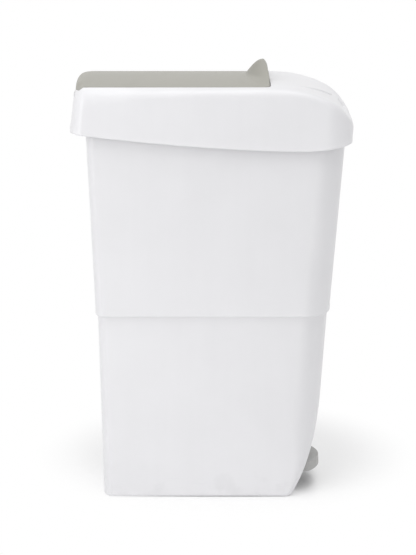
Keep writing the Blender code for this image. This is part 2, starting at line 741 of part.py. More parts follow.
def make_pedal():
    """Foot lever, its pad, its axle and the push-on clips at the axle's ends."""
    pivot = (PIVOT_X, MID, PIVOT_Z)
    lever_top = PEDAL_Z - SEAT
    rear_x = ROD_X - LEVER_TAIL
    outline = [(rear_x, LEVER_REAR_Z), (PIVOT_X - LEVER_BOSS_R, PIVOT_Z - LEVER_BOSS_R),
               (PIVOT_X + LEVER_BOSS_R, PIVOT_Z - LEVER_BOSS_R),
               (PEDAL_REAR, lever_top - LEVER_THICK), (LEVER_FRONT_X, lever_top - LEVER_THICK),
               (LEVER_FRONT_X, lever_top), (PEDAL_REAR, lever_top),
               (PIVOT_X + LEVER_BOSS_R, PIVOT_Z + LEVER_BOSS_R),
               (PIVOT_X - LEVER_BOSS_R, PIVOT_Z + LEVER_BOSS_R),
               (rear_x, LEVER_REAR_Z + LEVER_THICK)]
    lever = plate("pedal_lever", outline, 2 * LEVER_HALF, MID)
    cut(lever, rod_along("lever bore", AXLE_R + PIN_PLAY, (PIVOT_X, -LEVER_HALF - OVERRUN, PIVOT_Z),
                         (PIVOT_X, LEVER_HALF + OVERRUN, PIVOT_Z), PIN_STEPS))
    settle(lever)
    set_origin(lever, pivot)
    finish(lever, steel)

    outline = []
    for i in range(PAD_STEPS + 1):
        share = -1 + 2 * i / PAD_STEPS
        outline.append((PEDAL_FRONT - PEDAL_BOW * share ** 2, PEDAL_HALF * share))
    outline.append((PEDAL_REAR, PEDAL_HALF))
    outline.append((PEDAL_REAR, -PEDAL_HALF))
    rings = [[(x, y, z) for x, y in outline] for z in (PEDAL_Z, PEDAL_Z + PEDAL_THICK)]
    pad = lofted("pedal_pad", rings)
    bevel(pad, PEDAL_EDGE, 3, 40.0)
    settle(pad)
    set_origin(pad, pivot)
    finish(pad, pedal_grey)

    axle = rod_along("pedal_axle", AXLE_R, (PIVOT_X, -AXLE_HALF, PIVOT_Z),
                     (PIVOT_X, AXLE_HALF, PIVOT_Z), PIN_STEPS)
    finish(axle, steel)
    for name, side in (("axle_clip_left", 1), ("axle_clip_right", -1)):
        inner = EAR_IN + EAR_THICK + SEAT
        clip = rod_along(name, CLIP_R, (PIVOT_X, side * inner, PIVOT_Z),
                         (PIVOT_X, side * (inner + CLIP_THICK), PIVOT_Z), PIN_STEPS)
        cut(clip, rod_along("clip bore", AXLE_R + PIN_PLAY, (PIVOT_X, side * (inner - OVERRUN), PIVOT_Z),
                            (PIVOT_X, side * (inner + OVERRUN), PIVOT_Z), PIN_STEPS))
        settle(clip)
        finish(clip, steel)


def crank_end():
    return round_hinge(CRANK_R, -FLAP_OPEN / 2)


def make_rod():
    """Push rod with its round foot, top cap, spring, spring collar, two guides and the liner guard."""
    lever_top = LEVER_REAR_Z + LEVER_THICK
    foot_low = lever_top + FOOT_PLAY
    cap_top = crank_end()[1] - CRANK_END_R - SEAT
    cap_low = cap_top - CAP_HEIGHT
    foot_top = foot_low + ROD_FOOT

    profile = [(0.0, foot_top), (ROD_FOOT_R, foot_top)]
    for i in range(FOOT_ROUNDS):
        turn = math.pi / 2 * i / FOOT_ROUNDS
        profile.append((ROD_FOOT_R * math.cos(turn), foot_low + ROD_FOOT_R * (1 - math.sin(turn))))
    profile.append((0.0, foot_low))
    foot = turned("rod_foot", profile, (ROD_X, MID, 0.0))
    settle(foot)
    finish(foot, acetal)

    rod = rod_along("push_rod", ROD_R, (ROD_X, MID, foot_top + SEAT), (ROD_X, MID, cap_low - SEAT), ROD_STEPS)
    finish(rod, steel)

    cap = turned("rod_cap", [(0.0, cap_top), (CAP_R, cap_top), (CAP_R, cap_top - CAP_FACE),
                             (CAP_NECK_R, cap_low), (0.0, cap_low)], (ROD_X, MID, 0.0))
    settle(cap)
    finish(cap, acetal)

    collar = rod_along("rod_collar", COLLAR_R, (ROD_X, MID, COLLAR_Z - COLLAR_THICK),
                       (ROD_X, MID, COLLAR_Z), PIN_STEPS)
    cut(collar, rod_along("collar bore", ROD_R + SEAT, (ROD_X, MID, COLLAR_Z - OVERRUN),
                          (ROD_X, MID, COLLAR_Z + OVERRUN), ROD_STEPS))
    settle(collar)
    finish(collar, acetal)

    spring_low = COLLAR_Z + SEAT + SPRING_WIRE_R
    spring_high = UPPER_GUIDE_Z - SEAT - SPRING_WIRE_R
    curve = bpy.data.curves.new("return_spring", "CURVE")
    curve.dimensions = "3D"
    curve.bevel_depth = SPRING_WIRE_R
    curve.bevel_resolution = 1
    curve.use_fill_caps = True
    curve.render_resolution_u = 0
    spline = curve.splines.new("POLY")
    count = SPRING_TURNS * SPRING_STEPS
    spline.points.add(count)
    for i, point in enumerate(spline.points):
        angle = 2 * math.pi * i / SPRING_STEPS
        height = blend(spring_low, spring_high, i / count)
        point.co = (ROD_X + SPRING_R * math.cos(angle), SPRING_R * math.sin(angle), height, 1.0)
    coil = bpy.data.objects.new("spring curve", curve)
    container.objects.link(coil)
    bpy.context.view_layer.update()
    graph = bpy.context.evaluated_depsgraph_get()
    mesh = bpy.data.meshes.new_from_object(coil.evaluated_get(graph))
    data = bmesh.new()
    data.from_mesh(mesh)
    bpy.data.objects.remove(coil, do_unlink=True)
    finish(mesh_object("return_spring", data), steel)
    pitch = (spring_high - spring_low) / SPRING_TURNS
    print("least gap between the spring's turns, mm:", round((pitch - 2 * SPRING_WIRE_R) * 1000, 2))

    floor_top = FLOOR_Z + FLOOR_THICK
    grommet = turned("rod_guide_lower", [(ROD_R + PIN_PLAY, floor_top + GUIDE_LIP + SEAT),
                                         (GUIDE_LIP_R, floor_top + GUIDE_LIP + SEAT),
                                         (GUIDE_LIP_R, floor_top + SEAT), (GUIDE_R, floor_top + SEAT),
                                         (GUIDE_R, FLOOR_Z), (ROD_R + PIN_PLAY, FLOOR_Z),
                                         (ROD_R + PIN_PLAY, floor_top + GUIDE_LIP + SEAT)],
                     (ROD_X, MID, 0.0))
    settle(grommet)
    finish(grommet, acetal)

    wall = rear_wall_x(UPPER_GUIDE_Z)
    guide = bar("rod_guide_upper", (wall + SEAT * 2, -UPPER_GUIDE_HALF, UPPER_GUIDE_Z),
                (ROD_X + UPPER_GUIDE_HALF, UPPER_GUIDE_HALF, UPPER_GUIDE_Z + UPPER_GUIDE_THICK))
    cut(guide, rod_along("guide bore", ROD_R + PIN_PLAY, (ROD_X, MID, UPPER_GUIDE_Z - OVERRUN),
                         (ROD_X, MID, UPPER_GUIDE_Z + UPPER_GUIDE_THICK + OVERRUN), ROD_STEPS))
    settle(guide)
    finish(guide, acetal)

    low = FLOOR_Z + FLOOR_THICK + SEAT
    levels = [low, STEP_Z + STEP_LEDGE, STEP_Z + STEP_LEDGE + COVER_REST, COVER_TOP]
    outline = [(rear_wall_x(level) + COVER_REST, level) for level in levels]
    outline += [(COVER_FRONT, COVER_TOP), (COVER_FRONT, low)]
    cover = plate("rod_cover", outline, 2 * COVER_HALF, MID)
    inner = bar("cover inside", (rear_wall_x(COVER_TOP) - OVERRUN, -COVER_HALF + COVER_WALL, -OVERRUN),
                (COVER_FRONT - COVER_WALL, COVER_HALF - COVER_WALL, COVER_TOP + OVERRUN))
    cut(cover, inner)
    settle(cover)
    finish(cover, inner_white)


def hood_shares(x):
    """Squareness and height of the shoulder where the wall ends, by place along the hood."""
    if x > SPINE_FRONT:
        share = (x - SPINE_FRONT) / (HOOD_FRONT_TOP - SPINE_FRONT)
        return blend(SIDE_POWER, NOSE_POWER, share), blend(SHOULDER_SIDE_Z, SHOULDER_FRONT_Z, share)
    if x < SHOULDER_X:
        share = (SHOULDER_X - x) / (SHOULDER_X + HOOD_REAR_TOP)
        return blend(SIDE_POWER, REAR_POWER, share), blend(SHOULDER_SIDE_Z, SHOULDER_REAR_Z, share)
    return SIDE_POWER, SHOULDER_SIDE_Z


def hood_edge_z(x):
    rise = max(0.0, (HOOD_EDGE_X - x) / (HOOD_EDGE_X + HOOD_REAR_LOW))
    nose = max(0.0, (x - HOOD_EDGE_X) / (HOOD_FRONT_LOW - HOOD_EDGE_X))
    return HOOD_EDGE_Z + HOOD_EDGE_RISE * rise ** HOOD_EDGE_POWER + HOOD_NOSE_RISE * nose ** 2


def hood_outline(top, inset):
    rear = HOOD_REAR_TOP if top else HOOD_REAR_LOW
    front = HOOD_FRONT_TOP if top else HOOD_FRONT_LOW
    half = HOOD_HALF_TOP if top else HOOD_HALF_LOW
    return whole_outline(half_outline(rear - inset, front - inset, half - inset, HOOD_REAR_CORNER,
                                      HOOD_FRONT_CORNER, HOOD_REAR_BOW, HOOD_FRONT_BOW))


def sunk_by_well(x, y, z):
    """Lower a point of the hood's top by the shallow finger well in front of the tab."""
    along = (x - MOUTH_FRONT) / WELL_REACH[0]
    across = y / WELL_REACH[1]
    return (x, y, z - WELL_DEPTH * math.exp(-along ** 2 - across ** 2))


def hood_rings(inset, dome_angles):
    """Rings of the hood's skin, from the lower edge up the wall and over the shoulder to the crown."""
    low = hood_outline(False, inset)
    top = hood_outline(True, inset)
    rings = [[(x, y, hood_edge_z(x)) for x, y in low]]
    for degrees in dome_angles:
        turn = math.radians(degrees)
        ring = []
        for x, y in top:
            power, shoulder = hood_shares(x)
            out = math.cos(turn) ** (2 / power) if degrees < 90 else 0.0
            up = math.sin(turn) ** (2 / power)
            spine = min(max(x, SPINE_REAR), SPINE_FRONT)
            height = shoulder + (HOOD_CROWN_Z - inset - shoulder) * up
            ring.append(sunk_by_well(spine + (x - spine) * out, y * out, height))
        rings.append(ring)
    return rings


def hood_skin(name, outer_inset, inner_inset):
    """A closed skin between two insets of the hood's outer surface."""
    outer = hood_rings(outer_inset, DOME_ANGLES)
    inner = hood_rings(inner_inset, DOME_ANGLES)
    rings = list(reversed(inner)) + outer
    data = bmesh.new()
    loops = [[data.verts.new(point) for point in ring] for ring in rings]
    count = len(loops[0])
    for lower, upper in zip(loops, loops[1:]):
        for i in range(count):
            j = (i + 1) % count
            data.faces.new((lower[i], lower[j], upper[j], upper[i]))
    bmesh.ops.remove_doubles(data, verts=data.verts, dist=MERGE)
    bmesh.ops.dissolve_degenerate(data, edges=data.edges, dist=MERGE)
    return mesh_object(name, data)


def make_hood():
    """The white hood: a thin moulded cap with the mouth cut through its top and upper rear."""
    hood = hood_skin("hood", 0.0, HOOD_WALL)

    corner = (MOUTH_CORNER, MOUTH_CORNER)
    side = half_outline(HOOD_REAR_LOW + OVERRUN, MOUTH_FRONT, MOUTH_HALF, corner, corner, 0.0, 0.0)
    outline = whole_outline(side)
    mouth = lofted("mouth", [[(x, y, z) for x, y in outline] for z in (MOUTH_REAR_Z, HOOD_CROWN_Z + OVERRUN)])
    cut(hood, mouth)

    for side in (-1, 1):
        barrel = rod_along("lug", LUG_R, (HINGE_X, side * LUG_IN, HINGE_Z),
                           (HINGE_X, side * LUG_OUT, HINGE_Z), PIN_STEPS)
        join(hood, barrel)
        web_low = min(side * LUG_WEB[0], side * LUG_WEB[1])
        web_high = max(side * LUG_WEB[0], side * LUG_WEB[1])
        web = bar("lug web", (HINGE_X - LUG_WEB_HALF, web_low, HINGE_Z - LUG_DROP),
                  (HINGE_X + LUG_WEB_HALF, web_high, HINGE_Z))
        join(hood, web)
        bore = rod_along("lug bore", BUSH_R + SEAT, (HINGE_X, side * (LUG_IN - OVERRUN), HINGE_Z),
                         (HINGE_X, side * (LUG_IN + BUSH_LENGTH + SEAT * 2), HINGE_Z), PIN_STEPS)
        cut(hood, bore)
        for x in REST_X:
            low = RIM_Z + SEAT * 2 + RING_THICK
            inner = min(side * REST_IN, side * REST_OUT)
            outer = max(side * REST_IN, side * REST_OUT)
            rest = bar("rest", (x - REST_LENGTH / 2, inner, low),
                       (x + REST_LENGTH / 2, outer, low + REST_HEIGHT))
            join(hood, rest)
        for x in FRAME_BOSS_X:
            boss = rod_along("boss", FRAME_BOSS_R,
                             (x, side * FRAME_BOSS_Y, RAIL_LOW + FRAME_EAR_THICK + SEAT),
                             (x, side * FRAME_BOSS_Y, FRAME_BOSS_TOP), ROD_STEPS)
            join(hood, boss)
            hole = rod_along("boss hole", SCREW_R + SCREW_PLAY,
                             (x, side * FRAME_BOSS_Y, RAIL_LOW - OVERRUN),
                             (x, side * FRAME_BOSS_Y, RAIL_LOW + FRAME_SCREW_LENGTH + SEAT * 3), HOLE_STEPS)
            cut(hood, hole)

    panel = hood_skin("nose panel", -SKIN_BEYOND, PANEL_DEPTH)
    field = bar("panel field", (PANEL_X[0], -PANEL_HALF, HOOD_EDGE_Z),
                (PANEL_X[1], PANEL_HALF, HOOD_CROWN_Z + OVERRUN))
    bevel(field, PANEL_CORNER, 3)
    settle(field)
    combine(panel, field, "INTERSECT")
    settle(panel)
    cut(hood, panel)
    grip = hood_skin("nose grip", -SKIN_BEYOND, GRIP_DEPTH)
    grip_field = bar("grip field", (GRIP_REAR, -GRIP_HALF, GRIP_Z[0]),
                     (HOOD_FRONT_LOW + OVERRUN, GRIP_HALF, GRIP_Z[1]))
    combine(grip, grip_field, "INTERSECT")
    settle(grip)
    cut(hood, grip)
    settle(hood)
    return finish(hood, white)


def rear_room_x(y):
    """Inner face of the hood's rear wall at a distance from the mid-plane."""
    points = hood_outline(True, HOOD_WALL)
    for (near_x, near_y), (far_x, far_y) in zip(points, points[1:]):
        if near_y <= y <= far_y and far_y > near_y:
            return blend(near_x, far_x, (y - near_y) / (far_y - near_y))
    return points[0][0]


def flap_under(y):
    """Height of the flap's underside at a distance from its middle."""
    return HINGE_Z + CURL_R - FLAP_WALL - FLAP_DROP * y ** 2 / FLAP_HALF ** 2


def flap_profile():
    """Side view of the flap's outer face at its middle: rear end, curl, flat top, front edge."""
    points = []
    for x, z in arc(HINGE_X, HINGE_Z, CURL_R, CURL_END_ANGLE, 90.0, CURL_STEPS):
        points.append((x, z))
    for i in range(1, FLAT_STEPS + 1):
        points.append((blend(HINGE_X, TAB_ROOT, i / FLAT_STEPS), HINGE_Z + CURL_R))
    return points


def make_flap():
    """The flap: a crowned sheet, curled over the hinge, whose front edge sweeps up into a finger tab."""
    columns = FLAP_COLUMNS
    tab_steps = TAB_STEPS
    crown = HINGE_Z + CURL_R
    profile = flap_profile()
    rows = len(profile)
    data = bmesh.new()
    grid = []
    for row in range(rows + tab_steps + FACE_STEPS):
        line = []
        for column in range(columns + 1):
            place = -1 + 2 * column / columns
            share = (place + math.sin(math.pi / 2 * place)) / 2
            y = FLAP_HALF * share
            room = HINGE_X - rear_room_x(abs(y)) - CURL_PLAY
            drop = FLAP_DROP * share ** 2
            bell = math.exp(-(y / TAB_BELL) ** 2)
            past = max(0.0, abs(y) - FLAP_HALF + FLAP_CORNER) / FLAP_CORNER
            front = FLAP_FRONT - FLAP_CORNER * (1 - math.sqrt(max(0.0, 1 - past ** 2)))
            edge = front - (FLAP_FRONT - TAB_PEAK_X) * math.exp(-(y / TAB_LEAN) ** 2)
            root = blend(TAB_ROOT, min(TAB_ROOT_SIDE, front - FLAP_WALL), share ** 2)
            if row < rows:
                x, z = profile[row]
                if row == rows - 1:
                    x = root
                if x < HINGE_X:
                    x = HINGE_X + (x - HINGE_X) * min(CURL_R, room) / CURL_R
                    z = HINGE_Z + (z - HINGE_Z) * (CURL_R - drop) / CURL_R
                else:
                    z -= drop
            elif row < rows + tab_steps:
                run = (row - rows + 1) / tab_steps
                x = blend(root, edge, run)
                z = crown - drop + TAB_RISE * bell * math.sin(math.pi / 2 * run)
            else:
                run = (row - rows - tab_steps + 1) / FACE_STEPS
                x = blend(edge, front, math.sin(math.pi / 2 * run))
                top = crown - drop + TAB_RISE * bell
                z = blend(top, crown - drop - FLAP_LIP, run ** FACE_POWER)
            line.append(data.verts.new((x, y, z)))
        grid.append(line)
    for row in range(len(grid) - 1):
        for column in range(columns):
            data.faces.new((grid[row][column], grid[row + 1][column], grid[row + 1][column + 1],
                            grid[row][column + 1]))
    mesh = bpy.data.meshes.new("flap")
    data.to_mesh(mesh)
    data.free()
    flap = bpy.data.objects.new("flap", mesh)
    container.objects.link(flap)
    mesh.update()
    if mesh.polygons[columns * (rows - 1)].normal.z < 0:
        mesh.flip_normals()
    thick = flap.modifiers.new("Wall", "SOLIDIFY")
    thick.thickness = FLAP_WALL
    thick.offset = -1.0
    thick.use_even_offset = True
    settle(flap)
    for side in (-1, 1):
        middle = side * (RIB_IN + RIB_THICK / 2)
        rib_top = flap_under(RIB_IN + RIB_THICK / 2) + RIB_SINK
        outline = arc(HINGE_X, HINGE_Z, KNUCKLE_R, 120, 290, ARC_STEPS)
        outline.append((RIB_FRONT, rib_top - RIB_FRONT_HEIGHT))
        outline.append((RIB_FRONT, rib_top))
        outline.append((HINGE_X, rib_top))
        join(flap, plate("rib", outline, RIB_THICK, middle))
        for x in TRAY_SCREW_X:
            cut(flap, rod_along("tray screw hole", SCREW_R + SCREW_PLAY,
                                (x, side * (RIB_IN + RIB_THICK - TRAY_SCREW_LENGTH / 2), TRAY_SCREW_Z),
                                (x, side * (RIB_IN + RIB_THICK + OVERRUN), TRAY_SCREW_Z), HOLE_STEPS))
        cut(flap, rod_along("lug relief", LUG_R + CURL_PLAY, (HINGE_X, side * (LUG_IN - BUSH_LIP), HINGE_Z),
                            (HINGE_X, side * (LUG_OUT + OVERRUN), HINGE_Z), PIN_STEPS))
    cut(flap, rod_along("pin bore", PIN_R + PIN_PLAY, (HINGE_X, -RIB_IN - RIB_THICK - SEAT, HINGE_Z),
                        (HINGE_X, RIB_IN + RIB_THICK + SEAT, HINGE_Z), PIN_STEPS))
    settle(flap)
    set_origin(flap, (HINGE_X, MID, HINGE_Z))
    return finish(flap, warm_grey)


def make_tray():
    """Modesty tray: a sloping plate with side arms that run up to the hinge pin and along the flap's ribs."""
    arm_in = RIB_IN + RIB_THICK + SEAT
    low_root = round_hinge(TRAY_ROOT, TRAY_ANGLE)
    tip = round_hinge(TRAY_TIP, TRAY_ANGLE)
    along = Vector((tip[0] - low_root[0], 0.0, tip[1] - low_root[1]))
    data = bmesh.new()
    bmesh.ops.create_cube(data, size=1.0)
    length = along.length
    size = Matrix.Diagonal((length, 2 * arm_in + 2 * ARM_THICK, TRAY_WALL, 1.0))
    turn = Matrix.Rotation(-math.radians(TRAY_ANGLE), 4, "Y")
    middle = Matrix.Translation(((tip[0] + low_root[0]) / 2, 0.0, (tip[1] + low_root[1]) / 2))
    data.transform(middle @ turn @ size)
    tray = mesh_object("tray", data)
    lip_angle = TRAY_ANGLE + math.degrees(TRAY_LIP / TRAY_TIP)
    lip_tip = round_hinge(TRAY_TIP, lip_angle)
    lip_back = round_hinge(TRAY_TIP - TRAY_WALL, lip_angle)
    tip_back = round_hinge(TRAY_TIP - TRAY_WALL, TRAY_ANGLE)
    join(tray, plate("tray lip", [tip, lip_tip, lip_back, tip_back], 2 * arm_in + 2 * ARM_THICK, MID))
    for side in (-1, 1):
        outline = arc(HINGE_X, HINGE_Z, KNUCKLE_R, 90, 235, ARC_STEPS)
        outline.append(round_hinge(TRAY_ROOT, TRAY_ANGLE))
        outline.append(tip_back)
        outline.append(lip_back)
        outline.append(round_hinge(ARM_KNEE_R, ARM_KNEE_ANGLE))
        outline.append((ARM_FRONT, HINGE_Z - ARM_TOP))
        outline.append((ARM_FRONT, HINGE_Z + ARM_TOP))
        join(tray, plate("arm", outline, ARM_THICK, side * (arm_in + ARM_THICK / 2)))
        for x in TRAY_SCREW_X:
            cut(tray, rod_along("arm hole", SCREW_R + SCREW_PLAY,
                                (x, side * (arm_in - SHORT_OVERRUN), TRAY_SCREW_Z),
                                (x, side * (arm_in + OVERRUN), TRAY_SCREW_Z), HOLE_STEPS))
    cut(tray, rod_along("arm bore", PIN_R + PIN_PLAY, (HINGE_X, -arm_in - OVERRUN, HINGE_Z),
                        (HINGE_X, arm_in + OVERRUN, HINGE_Z), PIN_STEPS))
    settle(tray)
    set_origin(tray, (HINGE_X, MID, HINGE_Z))
    finish(tray, inner_white)

    head = arm_in + ARM_THICK + SEAT + SCREW_HEAD
    for end, x in zip(("rear", "front"), TRAY_SCREW_X):
        for hand, side in (("left", 1), ("right", -1)):
            make_screw(f"tray_screw_{end}_{hand}", (x, side * head, TRAY_SCREW_Z), (0, -side, 0),
                       TRAY_SCREW_LENGTH)


def make_hinge():
    """Hinge pin, the two bushes in the hood's lugs and the crank under the flap."""
    pin = rod_along("hinge_pin", PIN_R, (HINGE_X, -PIN_HALF, HINGE_Z),
                    (HINGE_X, PIN_HALF, HINGE_Z), PIN_STEPS)
    finish(pin, steel)
    for name, side in (("hinge_bush_left", 1), ("hinge_bush_right", -1)):
        inner = LUG_IN - SEAT
        bush = rod_along(name, BUSH_R, (HINGE_X, side * (inner - BUSH_LIP / 2), HINGE_Z),
                         (HINGE_X, side * (inner + BUSH_LENGTH), HINGE_Z), PIN_STEPS)
        join(bush, rod_along("bush lip", BUSH_LIP_R, (HINGE_X, side * (inner - BUSH_LIP), HINGE_Z),
                             (HINGE_X, side * inner, HINGE_Z), PIN_STEPS))
        cut(bush, rod_along("bush bore", PIN_R + PIN_PLAY, (HINGE_X, side * (inner - OVERRUN), HINGE_Z),
                            (HINGE_X, side * (inner + BUSH_LENGTH + OVERRUN), HINGE_Z), PIN_STEPS))
        settle(bush)
        finish(bush, acetal)

    foot_top = flap_under(CRANK_HALF) - SEAT
    end_x, end_z = crank_end()
    outline = arc(HINGE_X, HINGE_Z, CRANK_BOSS_R, 90, 300, ARC_STEPS)
    outline.append((end_x - CRANK_END_R * CRANK_NECK_SHARES[0], end_z + CRANK_END_R * CRANK_NECK_SHARES[1]))
    outline += arc(end_x, end_z, CRANK_END_R, 190, 360, ARC_STEPS)
    outline.append((HINGE_X + CRANK_FOOT[1], HINGE_Z))
    outline.append((HINGE_X + CRANK_FOOT[1], foot_top))
    outline.append((HINGE_X + CRANK_FOOT[0], foot_top))
    crank = plate("flap_crank", outline, 2 * CRANK_HALF, MID)
    cut(crank, rod_along("crank bore", PIN_R + PIN_PLAY, (HINGE_X, -CRANK_HALF - OVERRUN, HINGE_Z),
                         (HINGE_X, CRANK_HALF + OVERRUN, HINGE_Z), PIN_STEPS))
    settle(crank)
    set_origin(crank, (HINGE_X, MID, HINGE_Z))
    finish(crank, acetal)


def make_frame():
    """Seat frame screwed up under the hood's mouth, with the flap's rubber bumpers on it."""
    frame = bar("throat_frame", (BAR_X[0], -RAIL_IN - RAIL_THICK, RAIL_LOW),
                (BAR_X[1], RAIL_IN + RAIL_THICK, RAIL_TOP))
    for side in (-1, 1):
        inner = min(side * RAIL_IN, side * (RAIL_IN + RAIL_THICK))
        outer = max(side * RAIL_IN, side * (RAIL_IN + RAIL_THICK))
        rail = bar("rail", (RAIL_REAR, inner, RAIL_LOW), (BAR_X[1] - RAIL_THICK, outer, RAIL_TOP))
        join(frame, rail)
        for x in FRAME_BOSS_X:
            inner = min(side * (RAIL_IN + RAIL_THICK / 2), side * EAR_OUT)
            outer = max(side * (RAIL_IN + RAIL_THICK / 2), side * EAR_OUT)
            join(frame, bar("ear", (x - FRAME_EAR_HALF, inner, RAIL_LOW),
                            (x + FRAME_EAR_HALF, outer, RAIL_LOW + FRAME_EAR_THICK)))
            cut(frame, rod_along("ear hole", SCREW_R + SCREW_PLAY,
                                 (x, side * FRAME_BOSS_Y, RAIL_LOW - OVERRUN),
                                 (x, side * FRAME_BOSS_Y, RAIL_LOW + OVERRUN), HOLE_STEPS))
    settle(frame)
    finish(frame, inner_white)

    top = RAIL_LOW - SEAT - SCREW_HEAD
    for end, x in zip(("rear", "front"), FRAME_BOSS_X):
        for hand, side in (("left", 1), ("right", -1)):
            make_screw(f"frame_screw_{end}_{hand}", (x, side * FRAME_BOSS_Y, top), (0, 0, 1),
                       FRAME_SCREW_LENGTH)

    under = flap_under(BUMPER_Y + BUMPER_R)
    for name, side in (("flap_bumper_left", 1), ("flap_bumper_right", -1)):
        bumper = rod_along(name, BUMPER_R, (BUMPER_X, side * BUMPER_Y, RAIL_TOP + SEAT),
                           (BUMPER_X, side * BUMPER_Y, under - SEAT * 2), ROD_STEPS)
        finish(bumper, rubber)


def make_holder():
    """Open box for the odour sachet, hung on the front of the seat frame."""
    rear = BAR_X[1] + SEAT
    holder = bar("sachet_holder", (rear, -HOLDER_HALF, HOLDER_LOW),
                 (rear + HOLDER_LENGTH, HOLDER_HALF, HOLDER_TOP))
    cut(holder, bar("holder inside",
                    (rear + HOLDER_WALL, -HOLDER_HALF + HOLDER_WALL, HOLDER_LOW + HOLDER_WALL),
                    (rear + HOLDER_LENGTH - HOLDER_WALL, HOLDER_HALF - HOLDER_WALL, HOLDER_TOP + OVERRUN)))
    pitch = 2 * HOLDER_HALF / (HOLDER_SLOTS + 1)
    for i in range(HOLDER_SLOTS):
        y = -HOLDER_HALF + pitch * (i + 1)
        cut(holder, bar("holder slot", (rear + HOLDER_MARGIN, y - HOLDER_SLOT / 2, HOLDER_LOW - OVERRUN),
                        (rear + HOLDER_LENGTH - HOLDER_MARGIN, y + HOLDER_SLOT / 2,
                         HOLDER_LOW + HOLDER_WALL + SHORT_OVERRUN)))
    settle(holder)
    finish(holder, inner_white)


def make_liner_ring():
    """Ring that pinches the liner over the bucket's rim: a flange on the rim and a skirt inside it."""
    low = RIM_Z + SEAT
    high = low + RING_THICK
    out = BUCKET_WALL + RING_PLAY
    inner = out + RING_WALL

    def ring(z, inset):
        return [(x, y, z) for x, y in whole_outline(bucket_outline(min(z, RIM_Z), True, inset))]

    rings = [ring(low, SEAT), ring(high, SEAT), ring(high, inner), ring(RIM_Z - RING_SKIRT, inner),
             ring(RIM_Z - RING_SKIRT, out), ring(low, out)]
    item = lofted("liner_ring", rings, chain_closed=True)
    finish(item, warm_grey)


clear_scene()
container = make_collection("sanitary_container")
cutters = make_collection("cutters")
white = make_material("white_plastic", WHITE, 0.38)
warm_grey = make_material("warm_grey_plastic", WARM_GREY, 0.42)
pedal_grey = make_material("pedal_grey_plastic", PEDAL_GREY, 0.5)
inner_white = make_material("inner_white_plastic", INNER_WHITE, 0.45)
acetal = make_material("acetal", ACETAL, 0.35)
rubber = make_material("rubber", BLACK_RUBBER, 0.8)
steel = make_material("zinc_plated_steel", STEEL, 0.35, 1.0)

make_bucket()
make_base_plate()
make_base_screws()
make_feet()
make_pedal()
make_rod()
make_liner_ring()
make_hood()
make_frame()
make_holder()
make_hinge()
make_flap()
make_tray()
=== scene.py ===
"""Looks of the sanitary container: a slim white pedal bin with a hood and a grey tipping flap."""

import math

import bmesh
import bpy
import numpy as np
from mathutils import Matrix, Vector


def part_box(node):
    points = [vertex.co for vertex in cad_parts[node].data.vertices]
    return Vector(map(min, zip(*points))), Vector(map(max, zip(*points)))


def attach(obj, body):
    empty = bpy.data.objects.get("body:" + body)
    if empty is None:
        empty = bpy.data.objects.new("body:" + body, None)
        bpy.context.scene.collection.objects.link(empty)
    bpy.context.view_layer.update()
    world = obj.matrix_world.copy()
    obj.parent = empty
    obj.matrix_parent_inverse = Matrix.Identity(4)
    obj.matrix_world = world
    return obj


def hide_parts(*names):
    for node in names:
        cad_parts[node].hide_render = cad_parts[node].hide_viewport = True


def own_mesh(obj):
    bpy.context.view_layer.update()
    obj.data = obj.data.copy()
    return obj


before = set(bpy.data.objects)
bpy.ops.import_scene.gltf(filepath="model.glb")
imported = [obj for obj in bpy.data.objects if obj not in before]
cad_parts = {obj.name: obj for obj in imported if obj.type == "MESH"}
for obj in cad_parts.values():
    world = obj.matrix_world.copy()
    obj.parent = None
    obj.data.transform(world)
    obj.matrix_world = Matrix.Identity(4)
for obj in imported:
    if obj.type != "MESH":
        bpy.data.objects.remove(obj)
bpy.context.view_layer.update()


# Bucket
# The tall white body is one polypropylene moulding, open at the top and recessed underneath. Its upper half
# stands slightly proud of the lower half at the nesting step, and a slot in the front lets the pedal out.
class Socket:
    """One output of a node, with the usual arithmetic."""

    def __init__(self, nodes, output):
        self.nodes = nodes
        self.output = output

    def math(self, operation, *others, **settings):
        values = dict(enumerate((self, *others)))
        return self.nodes.node("ShaderNodeMath", {"operation": operation, **settings}, values)

    def __add__(self, other):
        return self.math("ADD", other)

    def __sub__(self, other):
        return self.math("SUBTRACT", other)

    def __mul__(self, other):
        return self.math("MULTIPLY", other)

    def __truediv__(self, other):
        return self.math("DIVIDE", other)

    def __pow__(self, other):
        return self.math("POWER", other)

    __radd__ = __add__
    __rmul__ = __mul__

    def __rsub__(self, other):
        return self.nodes.node("ShaderNodeMath", {"operation": "SUBTRACT"}, {0: other, 1: self})

    def __neg__(self):
        return self.math("MULTIPLY", -1.0)

    def clamped(self):
        """The value held between 0 and 1."""
        return self.math("ADD", 0.0, use_clamp=True)

    def between(self, low, high):
        """0 at one value and 1 at the other, easing in and out."""
        return self.nodes.node("ShaderNodeMapRange", {"interpolation_type": "SMOOTHSTEP"},
                               {0: self, 1: low, 2: high})


class Nodes:
    """The nodes of a material or of a geometry tree."""

    def __init__(self, tree):
        self.tree = tree

    def node(self, kind, settings=None, values=None, output=0):
        """Add a node: its settings first, then the values or links of its sockets."""
        made = self.tree.nodes.new(kind)
        for name, setting in (settings or {}).items():
            setattr(made, name, setting)
        for name, value in (values or {}).items():
            if isinstance(value, Socket):
                self.tree.links.new(value.output, made.inputs[name])
            else:
                made.inputs[name].default_value = value
        return Socket(self, made.outputs[output])

    def vector(self, x=0.0, y=0.0, z=0.0):
        return self.node("ShaderNodeCombineXYZ", {}, {"X": x, "Y": y, "Z": z})

    def part(self, vector, axis):
        """One of a vector's three numbers."""
        return self.node("ShaderNodeSeparateXYZ", {}, {0: vector}, axis)

    def vector_math(self, operation, *values, output="Vector"):
        return self.node("ShaderNodeVectorMath", {"operation": operation}, dict(enumerate(values)), output)


